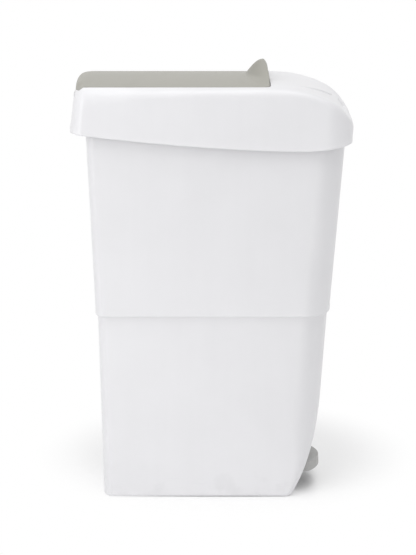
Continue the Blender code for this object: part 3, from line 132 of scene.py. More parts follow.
class Finish(Nodes):
    """A material of the object, with what changes over its surface."""

    def __init__(self, name, **constants):
        self.material = bpy.data.materials.new(name)
        self.material.use_nodes = True
        super().__init__(self.material.node_tree)
        self.shader = self.tree.nodes["Principled BSDF"]
        for socket, value in constants.items():
            self.shader.inputs[socket.replace("_", " ")].default_value = value
        self.place = self.node("ShaderNodeTexCoord", output="Object")

    def height(self):
        return self.part(self.place, "Z")

    def noise(self, scale, detail=2.0, place=None):
        return self.node("ShaderNodeTexNoise", {},
                         {"Vector": place or self.place, "Scale": scale, "Detail": detail}, "Fac")

    def streaks(self, scale, detail=2.0):
        """Noise with a scale of its own along each axis."""
        place = self.node("ShaderNodeMapping", {}, {"Vector": self.place, "Scale": scale})
        return self.noise(1.0, detail, place)

    def cells(self, scale):
        return self.node("ShaderNodeTexVoronoi", {"feature": "SMOOTH_F1"},
                         {"Vector": self.place, "Scale": scale, "Smoothness": 0.6}, "Distance")

    def mixed(self, share, low, high):
        """One colour turning into another as a value goes from 0 to 1."""
        low = (*low, 1.0) if isinstance(low, tuple) else low
        high = (*high, 1.0) if isinstance(high, tuple) else high
        return self.node("ShaderNodeMix", {"data_type": "RGBA"}, {0: share, 6: low, 7: high}, 2)

    def bump(self, height, depth):
        return self.node("ShaderNodeBump", {}, {"Strength": 1.0, "Distance": depth, "Height": height})

    def feed(self, socket, value):
        self.tree.links.new(value.output, self.shader.inputs[socket])


def scaled(colour, share):
    return tuple(value * share for value in colour)


def moulded(name, colour, roughness, grain, depth, marks=None, marked=0.90):
    """A moulded plastic: spark grain, flow streaks, cloudy gloss, and marks of wear and soil; the flap's marks
    also hold painted shade.
    """
    finish = Finish(name, Specular_IOR_Level=0.5, IOR=1.49)
    clouds = finish.noise(14.0, 3.0)
    streaks = finish.streaks((70.0, 70.0, 6.0))
    shade = (clouds * 0.7 + streaks * 0.3).between(0.3, 0.7)
    tint = finish.mixed(shade, scaled(colour, 0.985), scaled(colour, 1.008))
    gloss = roughness + (clouds - 0.5) * 0.10 + (streaks - 0.5) * 0.08
    if marks:
        # Marks darken the colour: wear and soil, and on the flap also painted shade.
        wear_and_shade = marks(finish)
        tint = finish.mixed(wear_and_shade, tint, scaled(colour, marked))
        gloss = gloss + wear_and_shade * 0.12
    relief = finish.cells(grain) * 0.6 + finish.noise(grain * 1.7, 1.0) * 0.4
    peel = finish.noise(95.0, 1.0)
    finish.feed("Base Color", tint)
    finish.feed("Roughness", gloss.clamped())
    finish.feed("Normal", finish.bump(relief + peel * 2.2, depth))
    return finish


def eased(share):
    """Smooth passage from 0 to 1."""
    share = min(1.0, max(0.0, share))
    return share * share * (3 - 2 * share)


def blend(low, high, share):
    return low + (high - low) * share


def quarter(steps, first=0):
    """Sines and cosines of even steps through a quarter turn."""
    turns = [math.pi / 2 * i / steps for i in range(first, steps + 1)]
    return [(math.sin(turn), math.cos(turn)) for turn in turns]


def plan_line(reach, corners, bows, inset, side_shares, bow_steps=8, corner_steps=16, nose_steps=20):
    """A plan outline from its reach to the rear, the front and each side, drawn in by an inset."""
    rear, front, half = (value - inset for value in reach)
    rear_corner, front_corner = ([value - inset / 2 for value in corner] for corner in corners)
    rear_bow, front_bow = bows
    side_rear = rear_bow + rear_corner[0] - rear
    side_front = front - front_bow - front_corner[0]
    flat = half - rear_corner[1]
    points = [(rear_bow * (i / bow_steps) ** 2 - rear, flat * i / bow_steps) for i in range(bow_steps)]
    points += [(side_rear - rear_corner[0] * cosine, flat + rear_corner[1] * sine)
               for sine, cosine in quarter(corner_steps)]
    points += [(blend(side_rear, side_front, share), half) for share in side_shares]
    flat = half - front_corner[1]
    points += [(side_front + front_corner[0] * sine, flat + front_corner[1] * cosine)
               for sine, cosine in quarter(nose_steps)]
    shares = [1 - i / bow_steps for i in range(1, bow_steps + 1)]
    points += [(front - front_bow * share ** 2, flat * share) for share in shares]
    return points + [(x, -y) for x, y in reversed(points[1:-1])]


def smoothed(item, degrees):
    """Smooth faces, with crisp edges where they meet at more than an angle."""
    item.data.shade_smooth()
    item.data.set_sharp_from_angle(angle=math.radians(degrees))
    return item


def piece(name, data, finish, degrees=38.0, fix_normals=True):
    """Turn mesh data into an object with its finish."""
    if fix_normals:
        bmesh.ops.recalc_face_normals(data, faces=data.faces)
    mesh = bpy.data.meshes.new(name)
    data.to_mesh(mesh)
    data.free()
    item = bpy.data.objects.new(name, mesh)
    bpy.context.scene.collection.objects.link(item)
    mesh.materials.append(finish.material)
    return smoothed(item, degrees)


def fit(item, body, slot, *nodes):
    """A finished piece moves with its body and stands for its solids."""
    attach(item, body)
    if nodes:
        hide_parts(*nodes)
    return item


def loft(rings, data=None, closed=False):
    """A closed skin through rings of points."""
    data = data or bmesh.new()
    loops = [[data.verts.new(point) for point in ring] for ring in rings]
    count = len(loops[0])
    pairs = list(zip(loops, loops[1:]))
    if closed:
        pairs.append((loops[-1], loops[0]))
    for lower, upper in pairs:
        for i in range(count):
            j = (i + 1) % count
            data.faces.new((lower[i], lower[j], upper[j], upper[i]))
    if not closed:
        data.faces.new(loops[0])
        data.faces.new(loops[-1])
    return data


def turned(profile, place=(0, 0, 0), axis="Z", steps=48, data=None, closed=False):
    """A turned shape: (radius, height) points spun about an axis through a place."""
    rings = []
    for radius, height in profile:
        ring = []
        for i in range(steps):
            angle = 2 * math.pi * i / steps
            a = radius * math.cos(angle)
            b = radius * math.sin(angle)
            point = (a, b, height) if axis == "Z" else (b, height, a)
            ring.append(tuple(Vector(point) + Vector(place)))
        rings.append(ring)
    return loft(rings, data, closed)


def baked(item):
    """Turn an object's modifiers into its mesh."""
    bpy.context.view_layer.update()
    graph = bpy.context.evaluated_depsgraph_get()
    mesh = bpy.data.meshes.new_from_object(item.evaluated_get(graph))
    item.modifiers.clear()
    item.data = mesh
    return item


def carved(item, cutter):
    """Cut a shape out of a piece."""
    tool = bpy.data.objects.new("cutter", bpy.data.meshes.new("cutter"))
    bmesh.ops.recalc_face_normals(cutter, faces=cutter.faces)
    cutter.to_mesh(tool.data)
    cutter.free()
    bpy.context.scene.collection.objects.link(tool)
    cut = item.modifiers.new("Cut", "BOOLEAN")
    cut.operation = "DIFFERENCE"
    cut.solver = "EXACT"
    cut.object = tool
    baked(item)
    bpy.data.objects.remove(tool, do_unlink=True)


def block(data, corner, other):
    """Add a box between two opposite corners."""
    made = bmesh.ops.create_cube(data, size=1.0)["verts"]
    low, high = (Vector(map(pick, corner, other)) for pick in (min, max))
    place = Matrix.Translation((low + high) / 2) @ Matrix.Diagonal((*(high - low), 1.0))
    bmesh.ops.transform(data, verts=made, matrix=place)


# Reach to the rear, the front and each side, at the foot, the step and the rim; corners by length and width.
FOOT_REACH = (0.1324, 0.1265, 0.0730)
STEP_REACH = (0.1409, 0.1455, 0.0785)
RIM_REACH = (0.1514, 0.1646, 0.0830)
BUCKET_REAR_CORNER = (0.010, 0.020)
BUCKET_FRONT_CORNER = (0.034, 0.048)
FOOT_FRONT_CORNER = (0.007, 0.010)
BUCKET_BOW = 0.0015
STEP_Z = 0.2255
STEP_OUT = 0.0025
RIM_Z = 0.455
FADE_Z = 0.100
SWEEP_Z = 0.120
SWEEP_BACK = 0.0275
BUCKET_WALL = 0.0025
FOOT_GAP = 0.0010
BUCKET_FLOOR = 0.0420
FLOOR_THICK = 0.0025
FLOOR_FILLET = 0.004
BUCKET_SIDES = [i / 20 for i in range(1, 20)]
# The step's section: rise above it and how far the skin is drawn in.
STEP_SECTION = ((0.0, 0.0012), (0.0001, 0.0006), (0.0004, 0.0001), (0.0009, -0.0003), (0.0015, -0.0005),
                (0.0022, -0.0004), (0.0031, -0.0002), (0.0045, 0.0))


def bucket_line(z, upper, inset):
    """Plan outline of the bucket's skin at a height, drawn in by an inset."""
    if upper:
        share = (z - STEP_Z) / (RIM_Z - STEP_Z)
        reach = [blend(low, high, share) for low, high in zip(STEP_REACH, RIM_REACH)]
    else:
        reach = [blend(low, high - STEP_OUT, z / STEP_Z) for low, high in zip(FOOT_REACH, STEP_REACH)]
        reach[1] -= SWEEP_BACK * max(0.0, 1 - z / SWEEP_Z) ** 2.4
    full = eased(z / FADE_Z)
    front_corner = [blend(low, high, full) for low, high in zip(FOOT_FRONT_CORNER, BUCKET_FRONT_CORNER)]
    return plan_line(reach, (BUCKET_REAR_CORNER, front_corner), (BUCKET_BOW, BUCKET_BOW), inset, BUCKET_SIDES)


def bucket_ring(z, upper=False, inset=0.0):
    return [(x, y, z) for x, y in bucket_line(z, upper, inset)]


def rounded_edge(z, upper, way, steps=6):
    """Rings round an edge of the bucket's wall, from its inner face to its outer one."""
    rings = []
    for i in range(steps + 1):
        turn = math.pi * i / steps
        inset = BUCKET_WALL * (1 + math.cos(turn)) / 2
        rings.append(bucket_ring(z + way * BUCKET_WALL / 2 * math.sin(turn), upper, inset))
    return rings


def bucket_rings():
    low_edge = FOOT_GAP + BUCKET_WALL / 2
    rings = [bucket_ring(blend(low_edge, BUCKET_FLOOR, i / 9), inset=BUCKET_WALL) for i in range(9, 0, -1)]
    rings += rounded_edge(low_edge, False, -1)
    rings += [bucket_ring(blend(low_edge, SWEEP_Z, (i / 26) ** 1.2)) for i in range(1, 27)]
    rings += [bucket_ring(blend(SWEEP_Z, STEP_Z - 0.0012, i / 10)) for i in range(1, 11)]
    rings += [bucket_ring(STEP_Z - drop, inset=-out) for drop, out in ((0.0006, 0.0001), (0.0002, 0.0004))]
    rings += [bucket_ring(STEP_Z + rise, True, inset) for rise, inset in STEP_SECTION]
    above_step = STEP_Z + STEP_SECTION[-1][0]
    under_rim = RIM_Z - 0.0013
    rings += [bucket_ring(blend(above_step, under_rim, i / 16), True) for i in range(1, 16)]
    rings += list(reversed(rounded_edge(RIM_Z - BUCKET_WALL / 2, True, 1)))
    ledge = STEP_Z + 0.0028
    rings += [bucket_ring(blend(under_rim, ledge + 0.0015, i / 10), True, BUCKET_WALL) for i in range(1, 11)]
    rings.append(bucket_ring(ledge, True, BUCKET_WALL + 0.0012))
    rings.append(bucket_ring(ledge - 0.0008, False, BUCKET_WALL))
    floor_top = BUCKET_FLOOR + FLOOR_THICK
    rings += [bucket_ring(blend(ledge - 0.003, floor_top + FLOOR_FILLET, i / 12), inset=BUCKET_WALL)
              for i in range(13)]
    for angle in map(math.radians, (25, 50, 75, 90)):
        rings.append(bucket_ring(floor_top + FLOOR_FILLET * (1 - math.sin(angle)),
                                 inset=BUCKET_WALL + FLOOR_FILLET * (1 - math.cos(angle))))
    return rings


def scuffs(finish):
    """Rubbed and dusty marks: kick marks near the floor and fine scratches at the step."""
    height = finish.height()
    low = 1 - height.between(0.0, 0.055)
    patchy = finish.noise(38.0, 4.0).between(0.50, 0.72)
    hair = finish.streaks((30.0, 30.0, 900.0), 3.0).between(0.60, 0.70)
    near_step = 1 - (height - STEP_Z).math("ABSOLUTE").between(0.002, 0.016)
    return ((patchy * 0.55 + hair * 0.25) * low + near_step * hair * 0.25).clamped()


ROD_X = -0.12341
ROD_HOLE = 0.0044
ROD_HOLE_X = -0.12342
POST_X = (-0.088, 0.050)
POST_Y = 0.052
POST_SECTION = [(0.0046, 0.0048), (0.0050, 0.0053), (0.0050, 0.0425), (0.0019, 0.0425), (0.0019, 0.0048)]
white_body = moulded("white_body_plastic", (0.815, 0.812, 0.829), 0.40, 1500.0, 0.000010, scuffs)
body = piece("bucket_moulding", loft(bucket_rings()), white_body)
slot_shape = bmesh.new()
block(slot_shape, (0.060, -0.0435, -0.0120), (0.146, 0.0435, 0.0385))
long_edges = [edge for edge in slot_shape.edges
              if abs(edge.verts[0].co.x - edge.verts[1].co.x) > 0.05 and edge.verts[0].co.z > 0]
bmesh.ops.bevel(slot_shape, geom=long_edges, offset=0.008, segments=8, affect="EDGES", profile=0.5)
carved(body, slot_shape)
rod_hole = [(ROD_HOLE, BUCKET_FLOOR - 0.006), (ROD_HOLE, BUCKET_FLOOR + 0.008)]
carved(body, turned(rod_hole, (ROD_HOLE_X, 0.0, 0.0), steps=32))
posts = bmesh.new()
posts.from_mesh(body.data)
for x in POST_X:
    for y in (-POST_Y, POST_Y):
        turned(POST_SECTION, (x, y, 0.0), steps=32, data=posts, closed=True)
posts.to_mesh(body.data)
posts.free()
fit(smoothed(body, 38.0), "bucket", "white_plastic", "bin_body")

# Base plate and its screws
# A flat closing plate of the same plastic carries the pedal's axle in two ears. Four zinc-plated pan-head
# screws hold it to posts under the bucket's floor.


def dusty(finish):
    """Dust that has settled in patches on parts that are never wiped."""
    return finish.noise(60.0, 4.0).between(0.48, 0.75) * 0.6


inner_white = moulded("inner_white_plastic", (0.72, 0.72, 0.715), 0.46, 1100.0, 0.000012, dusty)


def eased_edges(item, width, segments=1, degrees=30.0):
    """Round a piece's edges where its faces meet at more than an angle."""
    rounding = item.modifiers.new("Eased edges", "BEVEL")
    rounding.width = width
    rounding.segments = segments
    rounding.limit_method = "ANGLE"
    rounding.angle_limit = math.radians(degrees)
    return baked(item)


def softened(name, node, finish, edge):
    """A copy of a solid with its edges eased, as a mould or a tumbler leaves them."""
    data = bmesh.new()
    data.from_mesh(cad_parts[node].data)
    bmesh.ops.remove_doubles(data, verts=data.verts, dist=0.00001)
    bmesh.ops.dissolve_limit(data, angle_limit=math.radians(0.5), verts=data.verts, edges=data.edges)
    item = piece(name, data, finish, 50.0, fix_normals=False)
    return smoothed(eased_edges(item, edge, 2, 40.0), 50.0)


fit(softened("base_cover_plate", "base_plate", inner_white, 0.0004),
    "bucket", "inner_white_plastic", "base_plate")


def zinc_plate(name, colour, roughness):
    """Bright zinc plating: faint spangle, fine drawn lines and dull spots."""
    finish = Finish(name, Metallic=1.0)
    spangle = finish.cells(420.0)
    drawn = finish.streaks((900.0, 40.0, 900.0))
    dull = finish.noise(160.0, 4.0).between(0.52, 0.70)
    bright = finish.mixed((spangle * 0.5 + drawn * 0.5).clamped(), scaled(colour, 0.88), colour)
    finish.feed("Base Color", finish.mixed(dull * 0.5, bright, (0.36, 0.35, 0.33)))
    finish.feed("Roughness", (roughness + drawn * 0.12 + dull * 0.20).clamped())
    finish.feed("Normal", finish.bump(drawn + spangle * 0.5, 0.000006))
    return finish


steel = zinc_plate("zinc_plated_steel", (0.62, 0.62, 0.63), 0.24)


class Tree(Nodes):
    """A geometry tree with named inputs for its sizes."""

    def __init__(self, name):
        super().__init__(bpy.data.node_groups.new(name, "GeometryNodeTree"))
        for way in ("INPUT", "OUTPUT"):
            self.tree.interface.new_socket(name="Geometry", in_out=way, socket_type="NodeSocketGeometry")
        self.sizes = {}

    def size(self, name, value, kind="Float"):
        """A named input of the tree, as a socket."""
        made = self.tree.interface.new_socket(name=name, in_out="INPUT", socket_type="NodeSocket" + kind)
        self.sizes[name] = (made.identifier, value)
        group = self.tree.nodes.new("NodeGroupInput")
        return Socket(self, next(output for output in group.outputs if output.identifier == made.identifier))

    def cone(self, sides, low, high, depth):
        return self.node("GeometryNodeMeshCone", {}, {
            "Vertices": sides, "Radius Bottom": low, "Radius Top": high, "Depth": depth})

    def cylinder(self, sides, radius, depth):
        return self.node("GeometryNodeMeshCylinder", {}, {
            "Vertices": sides, "Radius": radius, "Depth": depth})

    def box(self, x, y, z):
        return self.node("GeometryNodeMeshCube", {}, {"Size": self.vector(x, y, z)})

    def moved(self, geometry, z=0.0, x=0.0):
        place = self.vector(x, 0.0, z)
        return self.node("GeometryNodeTransform", {}, {"Geometry": geometry, "Translation": place})

    def joined(self, *parts):
        whole = self.node("GeometryNodeJoinGeometry")
        for part in parts:
            self.tree.links.new(part.output, whole.output.node.inputs[0])
        return whole

    def cut(self, whole, *tools, overlapping=False):
        """A shape with others cut out of it."""
        made = self.node("GeometryNodeMeshBoolean", {"operation": "DIFFERENCE", "solver": "EXACT"},
                         {0: whole, "Self Intersection": overlapping})
        for tool in tools:
            self.tree.links.new(tool.output, made.output.node.inputs[1])
        return made

    def at_points(self, template):
        """Copies of a template on the tree's own points, each turned by the point's attribute."""
        points = self.node("NodeGroupInput", output="Geometry")
        turn = self.node("GeometryNodeInputNamedAttribute", {"data_type": "FLOAT_VECTOR"}, {"Name": "turn"})
        rotation = self.node("FunctionNodeEulerToRotation", {}, {0: turn})
        return self.node("GeometryNodeInstanceOnPoints", {},
                         {"Points": points, "Instance": template, "Rotation": rotation})

    def end(self, geometry, finish):
        """Close the tree: real geometry with the piece's material."""
        real = self.node("GeometryNodeRealizeInstances", {}, {0: geometry})
        coated = self.node("GeometryNodeSetMaterial", {}, {"Geometry": real, "Material": finish.material})
        self.tree.links.new(coated.output, self.tree.nodes.new("NodeGroupOutput").inputs[0])

    def made(self, name, points=((0.0, 0.0, 0.0),), turns=(), degrees=38.0):
        """The plain mesh object that the tree makes, from points with their turns if it needs them."""
        mesh = bpy.data.meshes.new(name)
        mesh.from_pydata(points, [], [])
        if turns:
            attribute = mesh.attributes.new("turn", "FLOAT_VECTOR", "POINT")
            attribute.data.foreach_set("vector", [value for turn in turns for value in turn])
        item = bpy.data.objects.new(name, mesh)
        bpy.context.scene.collection.objects.link(item)
        nodes = item.modifiers.new(self.tree.name, "NODES")
        nodes.node_group = self.tree
        for identifier, value in self.sizes.values():
            nodes[identifier] = value
        return smoothed(baked(item), degrees)


def screw_tree(name, shank_length):
    """A pan-head screw with a cross recess, pointing up from its head's outer face at its own point."""
    tree = Tree(name)
    radius = tree.size("Head radius", 0.0030)
    head = tree.size("Head height", 0.0010)
    shank_radius = tree.size("Shank radius", 0.0015)
    length = tree.size("Shank length", shank_length)
    face = tree.cone(28, radius * 0.72, radius, head * 0.5)
    rim = tree.cylinder(28, radius, head * 0.5)
    shank = tree.cone(18, shank_radius, shank_radius * 0.55, length)
    blades = tree.joined(tree.box(radius * 1.1, radius * 0.24, head * 1.1),
                         tree.box(radius * 0.24, radius * 1.1, head * 1.1))
    crossed = tree.cut(tree.joined(face, tree.moved(rim, head * 0.75)), blades, overlapping=True)
    tree.end(tree.at_points(tree.joined(crossed, tree.moved(shank, head))), steel)
    return tree


def hands(pattern):
    return [pattern.format(end, hand) for end in ("rear", "front") for hand in ("left", "right")]


BASE_SCREW_Z = 0.0007
base_screw_points = [(x, y, BASE_SCREW_Z) for x in POST_X for y in (POST_Y, -POST_Y)]
base_screws = screw_tree("base screw", 0.012).made("base_screws", base_screw_points, [(0.0, 0.0, 0.4)] * 4)
fit(base_screws, "bucket", "zinc_plated_steel", *hands("base_screw_{}_{}"))

# Rubber feet
# Four soft black rubber pads with an eased lower edge are pressed into the base plate.
rubber = Finish("foot_rubber", Specular_IOR_Level=0.3)
bloom = rubber.noise(220.0, 4.0).between(0.40, 0.75)
rubber.feed("Base Color", rubber.mixed(bloom, (0.022, 0.022, 0.023), (0.060, 0.058, 0.056)))
rubber.feed("Roughness", (0.72 + bloom * 0.18).clamped())
rubber.feed("Normal", rubber.bump(rubber.noise(900.0, 3.0), 0.00004))
feet_tree = Tree("rubber foot")
foot_radius = feet_tree.size("Radius", 0.0090)
foot_height = feet_tree.size("Height", 0.0017)
foot_disc = feet_tree.cylinder(48, foot_radius, foot_height * 0.55)
foot_face = feet_tree.cone(48, foot_radius * 0.93, foot_radius, foot_height * 0.45)
foot_whole = feet_tree.joined(feet_tree.moved(foot_disc, foot_height * 0.725), foot_face)
feet_tree.end(feet_tree.at_points(foot_whole), rubber)
FOOT_X = (-0.112, 0.070)
FOOT_Y = 0.046
feet_points = [(x, y, 0.0) for x in FOOT_X for y in (FOOT_Y, -FOOT_Y)]
feet = feet_tree.made("rubber_feet", feet_points, [(0.0, 0.0, 0.0)] * 4)
fit(feet, "bucket", "rubber", *hands("foot_{}_{}"))

# Foot lever with its axle and clips
# A zinc-plated steel strip runs from the pedal back to the push rod. It rocks on a steel axle, which two
# push-on clips hold in the ears of the base plate.
AXLE = (0.008, 0.0, 0.017)
lever = softened("foot_lever_strip", "pedal_lever", steel, 0.0005)
fit(lever, "pedal", "zinc_plated_steel", "pedal_lever")
axle_section = [(0.0024, -0.0235), (0.0030, -0.0229), (0.0030, 0.0229), (0.0024, 0.0235)]
axle = piece("lever_axle", turned(axle_section, AXLE, "Y", 40), steel)
fit(axle, "pedal", "zinc_plated_steel", "pedal_axle")
clips = bmesh.new()
clip_section = [(0.0033, 0.02030), (0.0056, 0.02030), (0.0058, 0.02072), (0.0052, 0.02170),
                (0.0040, 0.02128), (0.0033, 0.02170)]
for side in (-1, 1):
    turned([(radius, side * y) for radius, y in clip_section], AXLE, "Y", 40, clips, True)
fit(piece("axle_clips", clips, steel), "pedal", "zinc_plated_steel", "axle_clip_left", "axle_clip_right")

# Pedal pad
# The grey foot pad is a thick polypropylene cap pressed over the lever's end, with a bowed front and
# rounded edges. Shoe soles have scratched and dulled it.


def shoe_marks(finish):
    scratch = finish.streaks((260.0, 22.0, 90.0), 3.0).between(0.56, 0.72)
    return (scratch * 0.7 + finish.noise(70.0, 4.0).between(0.50, 0.74) * 0.5).clamped()


pedal_grey = moulded("pedal_grey_plastic", (0.440, 0.437, 0.430), 0.50, 1000.0, 0.000016, shoe_marks, 0.93)
PAD_LOW = 0.0238
PAD_TOP = 0.0365
PAD_LOW_EDGE = 0.0014
PAD_EDGE = 0.0010
PAD_DRAFT = 0.0004
PAD_HALF = 0.0425
PAD_REAR = 0.1020
PAD_FRONT = 0.1338
PAD_BOW = 0.0130
PAD_CORNER = 0.0042


def pad_ring(inset, z):
    """The pad's outline at a height, drawn in by an inset."""
    half = PAD_HALF - inset
    corner = max(0.0006, PAD_CORNER - inset)
    rear = PAD_REAR + inset
    side = rear + corner
    points = []
    for i in range(-24, 25):
        y = half * math.sin(math.pi / 2 * i / 24)
        past = max(0.0, abs(y) - half + corner) / corner
        bow = PAD_BOW * (y / PAD_HALF) ** 2 + corner * (1 - math.sqrt(max(0.0, 1 - past ** 2)))
        points.append((PAD_FRONT - inset - bow, y))
    points += [(blend(points[-1][0], side, i / 7), half) for i in range(1, 8)]
    points += [(side - corner * sine, half - corner * (1 - cosine)) for sine, cosine in quarter(5, 1)]
    points += [(rear, blend(half - corner, corner - half, i / 15)) for i in range(1, 16)]
    points += [(side - corner * cosine, corner * (1 - sine) - half) for sine, cosine in quarter(5, 1)]
    points += [(blend(side, points[0][0], i / 7), -half) for i in range(1, 7)]
    return [(x, y, z) for x, y in points]


pad_rings = [pad_ring(0.012, PAD_LOW)]
pad_rings += [pad_ring(PAD_LOW_EDGE * (1 - sine), PAD_LOW + PAD_LOW_EDGE * (1 - cosine))
              for sine, cosine in quarter(6)]
pad_rings += [pad_ring(PAD_DRAFT + PAD_EDGE * (1 - cosine), PAD_TOP - PAD_EDGE * (1 - sine))
              for sine, cosine in quarter(9)]
pad_rings += [pad_ring(inset, PAD_TOP) for inset in (0.004, 0.007, 0.010, 0.013)]
fit(piece("foot_pad", loft(pad_rings), pedal_grey), "pedal", "pedal_grey_plastic", "pedal_pad")

# Push rod with its foot, collar and cap
# A drawn steel rod climbs inside the rear wall. Turned acetal ends take the wear: a rounded foot on the
# lever, a clamped collar under the spring and a cap that pushes the crank.
ROD = (ROD_X, 0.0, 0.0)
BUTTON = 0.0045
acetal = moulded("acetal_natural", (0.70, 0.69, 0.64), 0.33, 700.0, 0.000006)
rod_section = [(0.0019, 0.0205), (0.0025, 0.0211), (0.0025, 0.4693), (0.0019, 0.4699)]
push_rod = piece("drawn_push_rod", turned(rod_section, ROD, steps=40), steel)
fit(push_rod, "rod", "zinc_plated_steel", "push_rod")
foot_low, foot_top = (corner.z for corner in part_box("rod_foot"))
foot_section = [(0.0008, foot_low)]
foot_section += [(BUTTON * sine, foot_low + BUTTON * (1 - cosine)) for sine, cosine in quarter(6, 1)]
foot_section += [(BUTTON, foot_top - 0.0004), (BUTTON - 0.0004, foot_top)]
fit(piece("rod_foot_button", turned(foot_section, ROD), acetal), "rod", "acetal", "rod_foot")
cap_low, cap_top = (corner.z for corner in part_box("rod_cap"))
cap_section = [(0.0031, cap_low), (0.0035, cap_low + 0.0004), (0.0050, cap_top - 0.0027),
               (0.0050, cap_top - 0.0005), (0.0046, cap_top - 0.0001), (0.0020, cap_top)]
fit(piece("rod_cap_button", turned(cap_section, ROD), acetal), "rod", "acetal", "rod_cap")
collar_section = [(0.0028, 0.2610), (0.0056, 0.2610), (0.0060, 0.2614), (0.0060, 0.2646), (0.0056, 0.2650),
                  (0.0028, 0.2650)]
fit(piece("spring_collar", turned(collar_section, ROD, closed=True), acetal), "rod", "acetal", "rod_collar")

# Return spring
# A wound steel compression spring sits between the collar and the upper guide. The real spring
# shortens as the lever lifts the rod; this mesh is built at one length.
spring_low, spring_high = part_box("return_spring")
coil_tree = Tree("return coil")
coil_radius = coil_tree.size("Coil radius", 0.0046)
coil_height = coil_tree.size("Height", spring_high.z - spring_low.z - 0.001)
coil_wire = coil_tree.size("Wire radius", 0.0005)
coil_turns = coil_tree.size("Turns", 9.0)
coil_line = coil_tree.node("GeometryNodeCurveSpiral", {}, {
    "Resolution": 28, "Rotations": coil_turns, "Start Radius": coil_radius, "End Radius": coil_radius,
    "Height": coil_height})
coil_section = coil_tree.node("GeometryNodeCurvePrimitiveCircle", {}, {"Resolution": 10, "Radius": coil_wire})
coil_wound = coil_tree.node("GeometryNodeCurveToMesh", {}, {
    "Curve": coil_line, "Profile Curve": coil_section, "Fill Caps": True})
coil_tree.end(coil_tree.moved(coil_wound, spring_low.z + 0.0005, ROD_X), steel)
spring = coil_tree.made("wound_return_spring")
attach(spring, "bucket")
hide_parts("return_spring")
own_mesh(spring)

# Rod guides and cover
# A turned grommet in the bucket's floor and a moulded bracket on its rear wall guide the rod. A light
# channel clips over rod and spring, so that the liner can't catch on them.
fit(softened("floor_grommet", "rod_guide_lower", acetal, 0.0003), "bucket", "acetal", "rod_guide_lower")
fit(softened("rod_bracket", "rod_guide_upper", acetal, 0.0005), "bucket", "acetal", "rod_guide_upper")
fit(softened("liner_guard", "rod_cover", inner_white, 0.0004), "bucket", "inner_white_plastic", "rod_cover")

# Liner ring
# A grey moulded ring drops over the rim and pinches the edge of the liner bag inside the bucket.


def handled(finish):
    return finish.noise(26.0, 4.0).between(0.52, 0.74) * 0.6


liner_grey = moulded("liner_grey_plastic", (0.430, 0.420, 0.386), 0.44, 900.0, 0.000014, handled, 0.94)
RING_LOW = RIM_Z + 0.0003
RING_TOP = RING_LOW + 0.0020
RING_OUT = 0.0003
RING_IN = 0.0051
SKIRT_OUT = 0.0033
SKIRT_LOW = RIM_Z - 0.0150
# The ring's section: height and how far it is drawn in from the bucket's skin.
RING_SECTION = ((RING_LOW, RING_OUT + 0.0003), (RING_LOW + 0.0004, RING_OUT), (RING_TOP - 0.0008, RING_OUT),
                (RING_TOP - 0.0003, RING_OUT + 0.0002), (RING_TOP, RING_OUT + 0.0007),
                (RING_TOP, RING_IN - 0.0013), (RING_TOP - 0.0004, RING_IN - 0.0004),
                (RING_TOP - 0.0012, RING_IN), (SKIRT_LOW + 0.0004, RING_IN), (SKIRT_LOW, RING_IN - 0.0004),
                (SKIRT_LOW, SKIRT_OUT + 0.0004), (SKIRT_LOW + 0.0004, SKIRT_OUT),
                (RING_LOW - 0.0003, SKIRT_OUT), (RING_LOW, SKIRT_OUT - 0.0003))
liner_rings = [[(x, y, z) for x, y in bucket_line(min(z, RIM_Z), True, inset)] for z, inset in RING_SECTION]
fit(piece("liner_clamp_ring", loft(liner_rings, closed=True), liner_grey),
    "bucket", "warm_grey_plastic", "liner_ring")

# Hood
# The white lid is a thin moulded cap that hangs over the bucket's rim: squarish over the bin, falling away
# to a rounded nose with an arched step and a pressed grip. Its mouth goes through the top and the upper rear.
HOOD_WALL = 0.0024
HOOD_REAR_TOP = 0.1662
HOOD_FRONT_TOP = 0.1722
HOOD_HALF_TOP = 0.0862
HOOD_LOW_REACH = (0.1699, 0.1701, 0.0900)
REAR_CORNER = (0.015, 0.022)
FRONT_CORNER = (0.034, 0.038)
REAR_BOW = 0.0020
FRONT_BOW = 0.0012
# The lower edge dips to its lowest point and rises again towards the rear and the nose.
EDGE_LOW = 0.4280
EDGE_LOW_X = 0.1120
EDGE_END_X = 0.1712
EDGE_REAR_RISE = 0.0220
EDGE_NOSE_RISE = 0.0075
HOOD_CROWN = 0.5105
HOOD_FRONT_CROWN = 0.5060
SPINE_REAR = -0.125
SPINE_FRONT = 0.066
NOSE_DROP = 0.0516
NOSE_SWEEP = (0.27, 1.5, 4.5)  # share of the early fall, its power and the late fall's power
CREASE_TOP = 0.4983
CREASE_REAR = (0.060, 0.2259, 0.0172, 3.4)  # where the fall starts, its length, depth and power
CREASE_FRONT = (0.085, 0.0875, 0.0345, 2.25)
ROUNDED = 0.0060
STEEPEST = 13.0
MOUTH_FRONT = 0.0708
MOUTH_HALF = 0.0760
MOUTH_PLAN = (-0.30, MOUTH_FRONT, MOUTH_HALF, 0.0055)  # open to the rear, with rounded front corners
MOUTH_LEVEL = 0.5042
MOUTH_REAR_Z = 0.4893
MOUTH_CORNER_LEVEL = 0.5002
MOUTH_RISE = (0.050, 0.020)  # where the rear rim starts to rise towards its corners, and over what width
MOUTH_MEETING = 0.005
HINGE_X = -0.1462
HINGE_Z = 0.4930
HINGE = (HINGE_X, 0.0, HINGE_Z)
NOSE_LINE_X = 0.1465
NOSE_LINE = 0.262
NOSE_LINE_DEPTH = 0.0013
NOSE_LINE_FADE = (0.096, 0.032)
SHOULDER_FADE = 0.012
GRIP = (0.4675, 0.4765, 0.0360, 0.0043)  # lowest, highest, half width and corner
GRIP_DEPTH = 0.0016
GRIP_REAR = 0.130
SOFT_EDGE = 0.0010
# Half widths at which lines that fan out from the spine meet the mouth's front edge, in tenths of a millimetre.
FAN = (750, 725, 690, 650, 600, 550, 500, 450, 400, 350, 310, 270, 235, 205, 180, 160)


